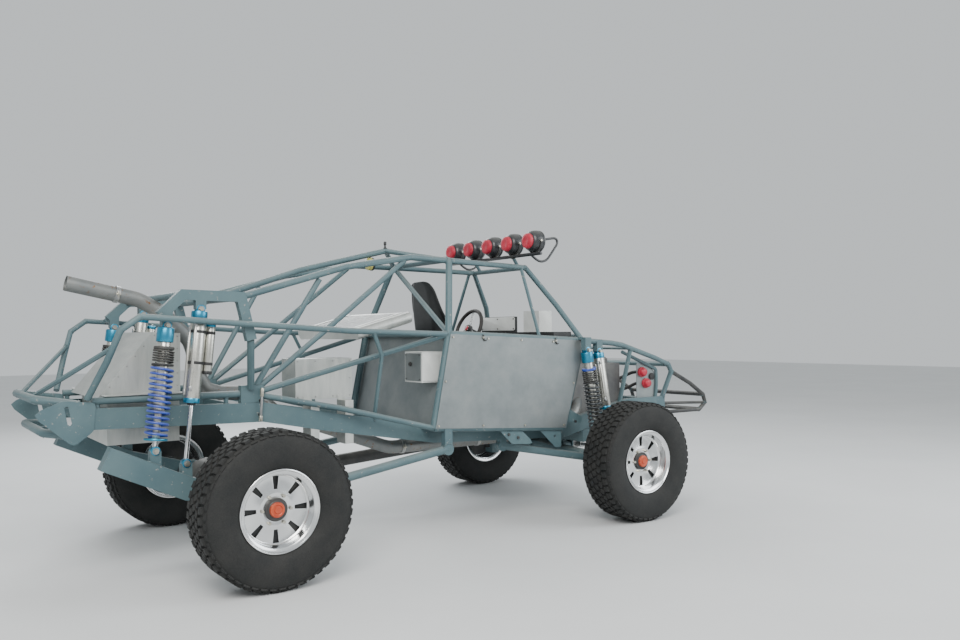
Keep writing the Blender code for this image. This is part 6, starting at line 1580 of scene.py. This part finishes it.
# %% Engine
engine = []
for side in (-1, 1):
    cover = rounded_plate("cover", 0.120, 0.500, 0.052, 0.030)
    cover.transform(Matrix.Translation(at(3.157, side * 0.150, 1.1505)) @ Matrix.Rotation(math.pi / 2, 4, "Y"))
    engine.append((cover, cast_metal))
    engine.append((slat_row("cover_ribs", 12, (0.036, 0.0, 0.0), (0.006, 0.086, 0.010), cast_metal,
                            Matrix.Translation(at(2.959, side * 0.150, 1.2040))), cast_metal))
    engine.append((bar_mesh("breather", at(3.30, side * 0.150, 1.198), at(3.30, side * 0.150, 1.222), 0.020, 0.004, 24),
                   black_plastic))
PULLEYS = [(0.000, 0.780, 0.086), (0.000, 0.985, 0.062), (-0.165, 1.050, 0.040), (0.175, 1.020, 0.048)]
for across, up, radius in PULLEYS:
    base = at(3.4672, across, up)
    profile = [(0.0, 0.0), (radius * 0.9, 0.0), (radius, 0.003), (radius, 0.008), (radius * 0.88, 0.013),
               (radius * 0.88, 0.019), (radius, 0.024), (radius, 0.029), (radius * 0.86, 0.031), (radius * 0.70, 0.022),
               (radius * 0.30, 0.022), (radius * 0.26, 0.034), (0.0, 0.034)]
    engine.append((lathe("pulley", profile, 40, False, standing(base, (1.0, 0.0, 0.0))), dark_steel))
belt_line = []
for across, up, radius, first, last in ((0.000, 0.780, 0.082, 200, 340), (0.175, 1.020, 0.046, -15, 95),
                                        (-0.165, 1.050, 0.038, 85, 190)):
    for step in range(9):
        angle = math.radians(first + (last - first) * step / 8)
        belt_line.append(at(3.4832, across + radius * math.cos(angle), up + radius * math.sin(angle)))
engine.append((sweep("belt", belt_line + [belt_line[0]], 0.0060, 8), rubber_hose))
settle("engine_dress", merged("engine_dress", engine), None, "chassis", 40.0)

# %% Nose band, plates and fittings


def upright_sheet(name, outline, across, thick):
    """A flat sheet with any outline, standing along the racer between two places across it."""
    ring = [Vector(point) for point in outline]
    points = [at(point.x, across, point.y) for point in ring] + [at(point.x, across + thick, point.y) for point in ring]
    count = len(ring)
    faces = [tuple(range(count)), tuple(reversed(range(count, 2 * count)))]
    faces += [(index, (index + 1) % count, count + (index + 1) % count, count + index) for index in range(count)]
    mesh = bpy.data.meshes.new(name)
    mesh.from_pydata(points, [], faces)
    return mesh


nose = []
NOSE_PLATE = [(3.508, 1.150), (3.560, 1.146), (3.700, 1.094), (3.722, 1.072), (3.730, 1.050), (3.731, 0.870), (3.722, 0.850),
              (3.700, 0.842), (3.520, 0.842), (3.508, 0.854)]
BAND = [(3.329, 1.248), (3.440, 1.206), (3.544, 1.166), (3.690, 1.110), (3.729, 1.092), (3.741, 1.060), (3.742, 0.952),
        (3.724, 0.822)]
for side in (-1, 1):
    nose.append((sweep("band", curved([at(x, side * 0.450, z) for x, z in BAND], 5), 0.0150, 16), frame_paint))
    nose.append((upright_sheet("nose_plate", NOSE_PLATE, side * 0.438, side * 0.004), door_sheet))
    blank = [(0.0, 0.0), (0.026, 0.0), (0.030, 0.004), (0.030, 0.014), (0.024, 0.018), (0.0, 0.018)]
    nose.append((lathe("blank", blank, 28, False, standing(at(3.688, side * 0.440, 1.030), (0.0, side, 0.0))), rubber_hose))
    for along, up in ((3.567, 1.071), (3.615, 0.974)):
        fitting = [(0.0, 0.0), (0.030, 0.0), (0.044, 0.005), (0.044, 0.026), (0.038, 0.030), (0.038, 0.038),
                   (0.032, 0.054), (0.022, 0.060), (0.0, 0.061)]
        nose.append((lathe("fitting", fitting, 10, False, standing(at(along, side * 0.430, up), (0.0, side, 0.0))),
                     red_cover))
        hose = curved([at(along, side * 0.400, up), at(along - 0.020, side * 0.340, up - 0.010),
                       at(along - 0.080, side * 0.280, up - 0.050), at(3.462, side * 0.240, up - 0.060)], 5)
        nose.append((sweep("hose", hose, 0.0140, 14), rubber_hose))
settle("nose_band", merged("nose_band", nose), None, "chassis", 40.0)

# %% [markdown]
# ## Radiator, exhaust and tail lamp
# The radiator leans behind the cab, and its core is a stack of thin fins. The exhaust is held by band clamps
# and ends in a rolled lip. The amber tail lamp hangs from the spine, with a short aerial above it.

# %% Radiator core
core_low, core_high = at(0.8237, 0.0, 1.4151), at(1.2427, 0.0, 1.5327)
slope = (core_high - core_low).normalized()
core_up = Vector((-slope.z, 0.0, slope.x))
fin_turn = Matrix((slope, Vector((0.0, 1.0, 0.0)), core_up)).transposed().to_4x4()
radiator_dress = []
for face in (-1, 1):
    place = Matrix.Translation(core_low + slope * 0.030 + core_up * face * 0.0362) @ fin_turn
    radiator_dress.append((slat_row("fins", 47, (0.008, 0.0, 0.0), (0.0028, 0.790, 0.0040), bare_steel, place), bare_steel))
    for across in (-0.405, 0.405):
        middle = core_low.lerp(core_high, 0.5) + core_up * face * 0.0365 + Vector((0.0, across, 0.0))
        rail = rounded_plate("rail", 0.030, 0.400, 0.006, 0.004, 3)
        turn = Matrix((core_up * -face, Vector((0.0, 1.0, 0.0)), slope)).transposed().to_4x4()
        rail.transform(Matrix.Translation(middle) @ turn)
        radiator_dress.append((rail, pale_sheet))
settle("radiator_core", merged("radiator_core", radiator_dress), None, "chassis", 30.0)

# %% Exhaust clamps
clamps = []
tail_start, tail_end = at(-0.5202, -0.2009, 1.6386), at(-0.9190, -0.2009, 1.7248)
long_start, long_end = at(2.0230, -0.2987, 0.6115), at(1.1560, -0.2987, 0.6115)
for start, end, share in ((tail_start, tail_end, 0.30), (long_start, long_end, 0.12), (long_start, long_end, 0.88)):
    start, end = Vector(start), Vector(end)
    run = (end - start).normalized()
    middle = start.lerp(end, share)
    band = [(0.0475, -0.013), (0.0500, -0.013), (0.0512, -0.0115), (0.0505, -0.004), (0.0505, 0.004), (0.0512, 0.0115),
            (0.0500, 0.013), (0.0475, 0.013)]
    clamps.append((lathe("band", band, 48, True, standing(middle, run)), bare_steel))
    lug = middle + Vector((0.0, -0.056, 0.0))
    clamps.append((bar_mesh("lug", lug - run * 0.013, lug + run * 0.013, 0.0075, 0.002, 12), zinc_bolt))
    clamps.append((bar_mesh("bolt", lug - Vector((0.0, 0.0, 0.020)), lug + Vector((0.0, 0.0, 0.020)), 0.0042, 0.001, 12),
                   zinc_bolt))
settle("exhaust_clamps", merged("exhaust_clamps", clamps), None, "chassis", 40.0)

# %% Knee rods
knee_rods = []
for side in (-1, 1):
    top, foot = at(0.150, side * 0.4960, 1.085), at(0.138, side * 0.4960, 0.880)
    rise = (top - foot).normalized()
    knee_rods.append((bar_mesh("rod", foot, top, 0.0085, 0.002, 20), bare_steel))
    for share, length in ((0.0, 0.034), (0.74, 0.052)):
        start = foot.lerp(top, share)
        knee_rods.append((bar_mesh("sleeve", start, start + rise * length, 0.0125, 0.003, 20), zinc_bolt))
    for up in (0.20, 0.62):
        middle = foot.lerp(top, up)
        inner = Vector((middle.x, side * 0.4758, middle.z))
        knee_rods.append((bar_mesh("clip", inner, middle, 0.0110, 0.002, 16), dark_steel))
settle("knee_rods", merged("knee_rods", knee_rods), None, "chassis", 40.0)

# %% Tail lamp and aerial
lamp_low, lamp_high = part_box("tail_lamp")
lamp_middle = (lamp_low + lamp_high) / 2
lamp_middle.z = lamp_low.z + 0.048
lens_profile = [(0.0, -0.024), (0.0460, -0.024), (0.0478, -0.021), (0.0478, -0.006), (0.0455, -0.004), (0.0470, 0.000),
                (0.0455, 0.004), (0.0470, 0.008), (0.0450, 0.012), (0.0455, 0.016), (0.0380, 0.0225), (0.0150, 0.0245),
                (0.0, 0.0248)]
lamp_stand = standing(lamp_middle, (-1.0, 0.0, 0.0))
tail_pieces = [(lathe("tail_lens", lens_profile, 40, False, lamp_stand), amber_lens)]
rear_shell = [(0.0, -0.0248), (0.030, -0.0248), (0.0488, -0.0225), (0.0490, -0.008), (0.0478, -0.0075), (0.0, -0.0075)]
tail_pieces.append((lathe("tail_base", rear_shell, 40, False, lamp_stand), lamp_shell))
tail_pieces.append((bar_mesh("tail_stem", lamp_middle + Vector((0.004, 0.0, 0.040)),
                             Vector((lamp_middle.x + 0.004, 0.0, lamp_high.z - 0.001)), 0.0090, 0.002, 16), dark_steel))
aerial_foot = Vector((-0.334, 0.0, 2.052))
aerial = [(0.0, 0.0), (0.016, 0.0), (0.017, 0.006), (0.010, 0.012), (0.0070, 0.018), (0.0070, 0.030), (0.0110, 0.034),
          (0.0110, 0.052), (0.0070, 0.058), (0.0, 0.060)]
tail_pieces.append((lathe("aerial_knob", aerial, 24, False, Matrix.Translation(aerial_foot)), black_plastic))
tail_light = settle("tail_light", merged("tail_light", tail_pieces), None, "chassis", 40.0)
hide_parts("tail_lamp")

# %% [markdown]
# The electrics box has a lid with a lip, four screws and a small key switch.

# %% Electrics box
box_low, box_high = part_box("electrics_box")
box_size = box_high - box_low
lid = rounded_plate("lid", box_size.x - 0.030, box_size.z - 0.016, 0.004, 0.010)
lid.transform(Matrix.Translation(Vector((box_low.x + box_size.x / 2 - 0.012, box_low.y - 0.0004, box_low.z + box_size.z / 2)))
              @ Matrix.Rotation(math.pi / 2, 4, "Z"))
settle("electrics_lid", lid, white_box, "chassis", 40.0)
rear_lid = rounded_plate("rear_lid", box_size.y - 0.020, box_size.z - 0.020, 0.004, 0.010)
rear_lid.transform(Matrix.Translation(Vector((box_low.x - 0.0004, (box_low.y + box_high.y) / 2, (box_low.z + box_high.z) / 2))))
settle("electrics_door", rear_lid, door_sheet, "chassis", 40.0)
door_middle = Vector((box_low.x - 0.0044, (box_low.y + box_high.y) / 2, (box_low.z + box_high.z) / 2))
door_corners = [door_middle + Vector((0.0, y * 0.092, z * 0.085)) for y in (-1, 1) for z in (-1, 1)]
studs("door_screws", door_corners, [back] * 4, 0.0050, 0.0040, 0.0030, dark_steel, "chassis", 12, 0.001)
key = lathe("key_switch", [(0.0, 0.0), (0.016, 0.0), (0.017, 0.004), (0.012, 0.006), (0.011, 0.014), (0.0, 0.016)], 28,
            False, standing(door_middle + Vector((0.0, 0.030, 0.020)), (-1.0, 0.0, 0.0)))
settle("key_switch", key, dark_steel, "chassis", 40.0)

# %% [markdown]
# ## The frame's own metal
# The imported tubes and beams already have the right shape. A welded, smooth-shaded copy takes the flat
# facets off the round tubes, and each copy gets the finish of its real metal.

# %% Dress the frame
SKINS = [
    # node, finish, slot
    ("ladder_frame", frame_paint, "frame_paint"),
    ("main_hoop", frame_paint, "frame_paint"),
    ("cab_frame", frame_paint, "frame_paint"),
    ("shock_towers", frame_paint, "frame_paint"),
    ("rear_bumper", frame_paint, "frame_paint"),
    ("nose_frame", frame_paint, "frame_paint"),
    ("front_bumper", dark_steel, "dark_steel"),
    ("rear_axle", dark_steel, "dark_steel"),
    ("front_crossmember", frame_paint, "frame_paint"),
    ("steering_rack", bare_steel, "shock_steel"),
    ("tie_rods", bare_steel, "shock_steel"),
    ("engine_block", cast_metal, "engine_grey"),
    ("gearbox", cast_metal, "engine_grey"),
    ("driveshaft", dark_steel, "dark_steel"),
    ("exhaust", exhaust_skin, "exhaust_steel"),
    ("fuel_cell", pale_sheet, "pale_aluminium"),
    ("radiator", pale_sheet, "pale_aluminium"),
    ("electrics_box", white_box, "box_white"),
    ("battery_box", pale_sheet, "pale_aluminium"),
    ("floor_pan", door_sheet, "aluminium_sheet"),
    ("firewall", door_sheet, "aluminium_sheet"),
    ("rear_bulkhead", door_sheet, "aluminium_sheet"),
    ("dash", black_plastic, "plastic_black"),
]
PAIRED_SKINS = [
    ("side_frame", frame_paint, "frame_paint"),
    ("rear_cage", frame_paint, "frame_paint"),
    ("side_panel", door_sheet, "aluminium_sheet"),
    ("trailing_arm", frame_paint, "frame_paint"),
    ("front_beam", frame_paint, "frame_paint"),
    ("knuckle", dark_steel, "dark_steel"),
]
for side_name in SIDES:
    for title, material, slot in PAIRED_SKINS:
        SKINS.append(("%s_%s" % (title, side_name), material, slot))
for node, material, slot in SKINS:
    skin = dressed(node, material)
    if node == "dash":
        skin.data.materials.append(white_box)
        shelf_top = at(0.0, 0.0, 1.4226).z
        for face in skin.data.polygons:
            if face.center.z > shelf_top and face.center.y < -0.150:
                face.material_index = 1
print("dressed nodes:", len(SKINS))
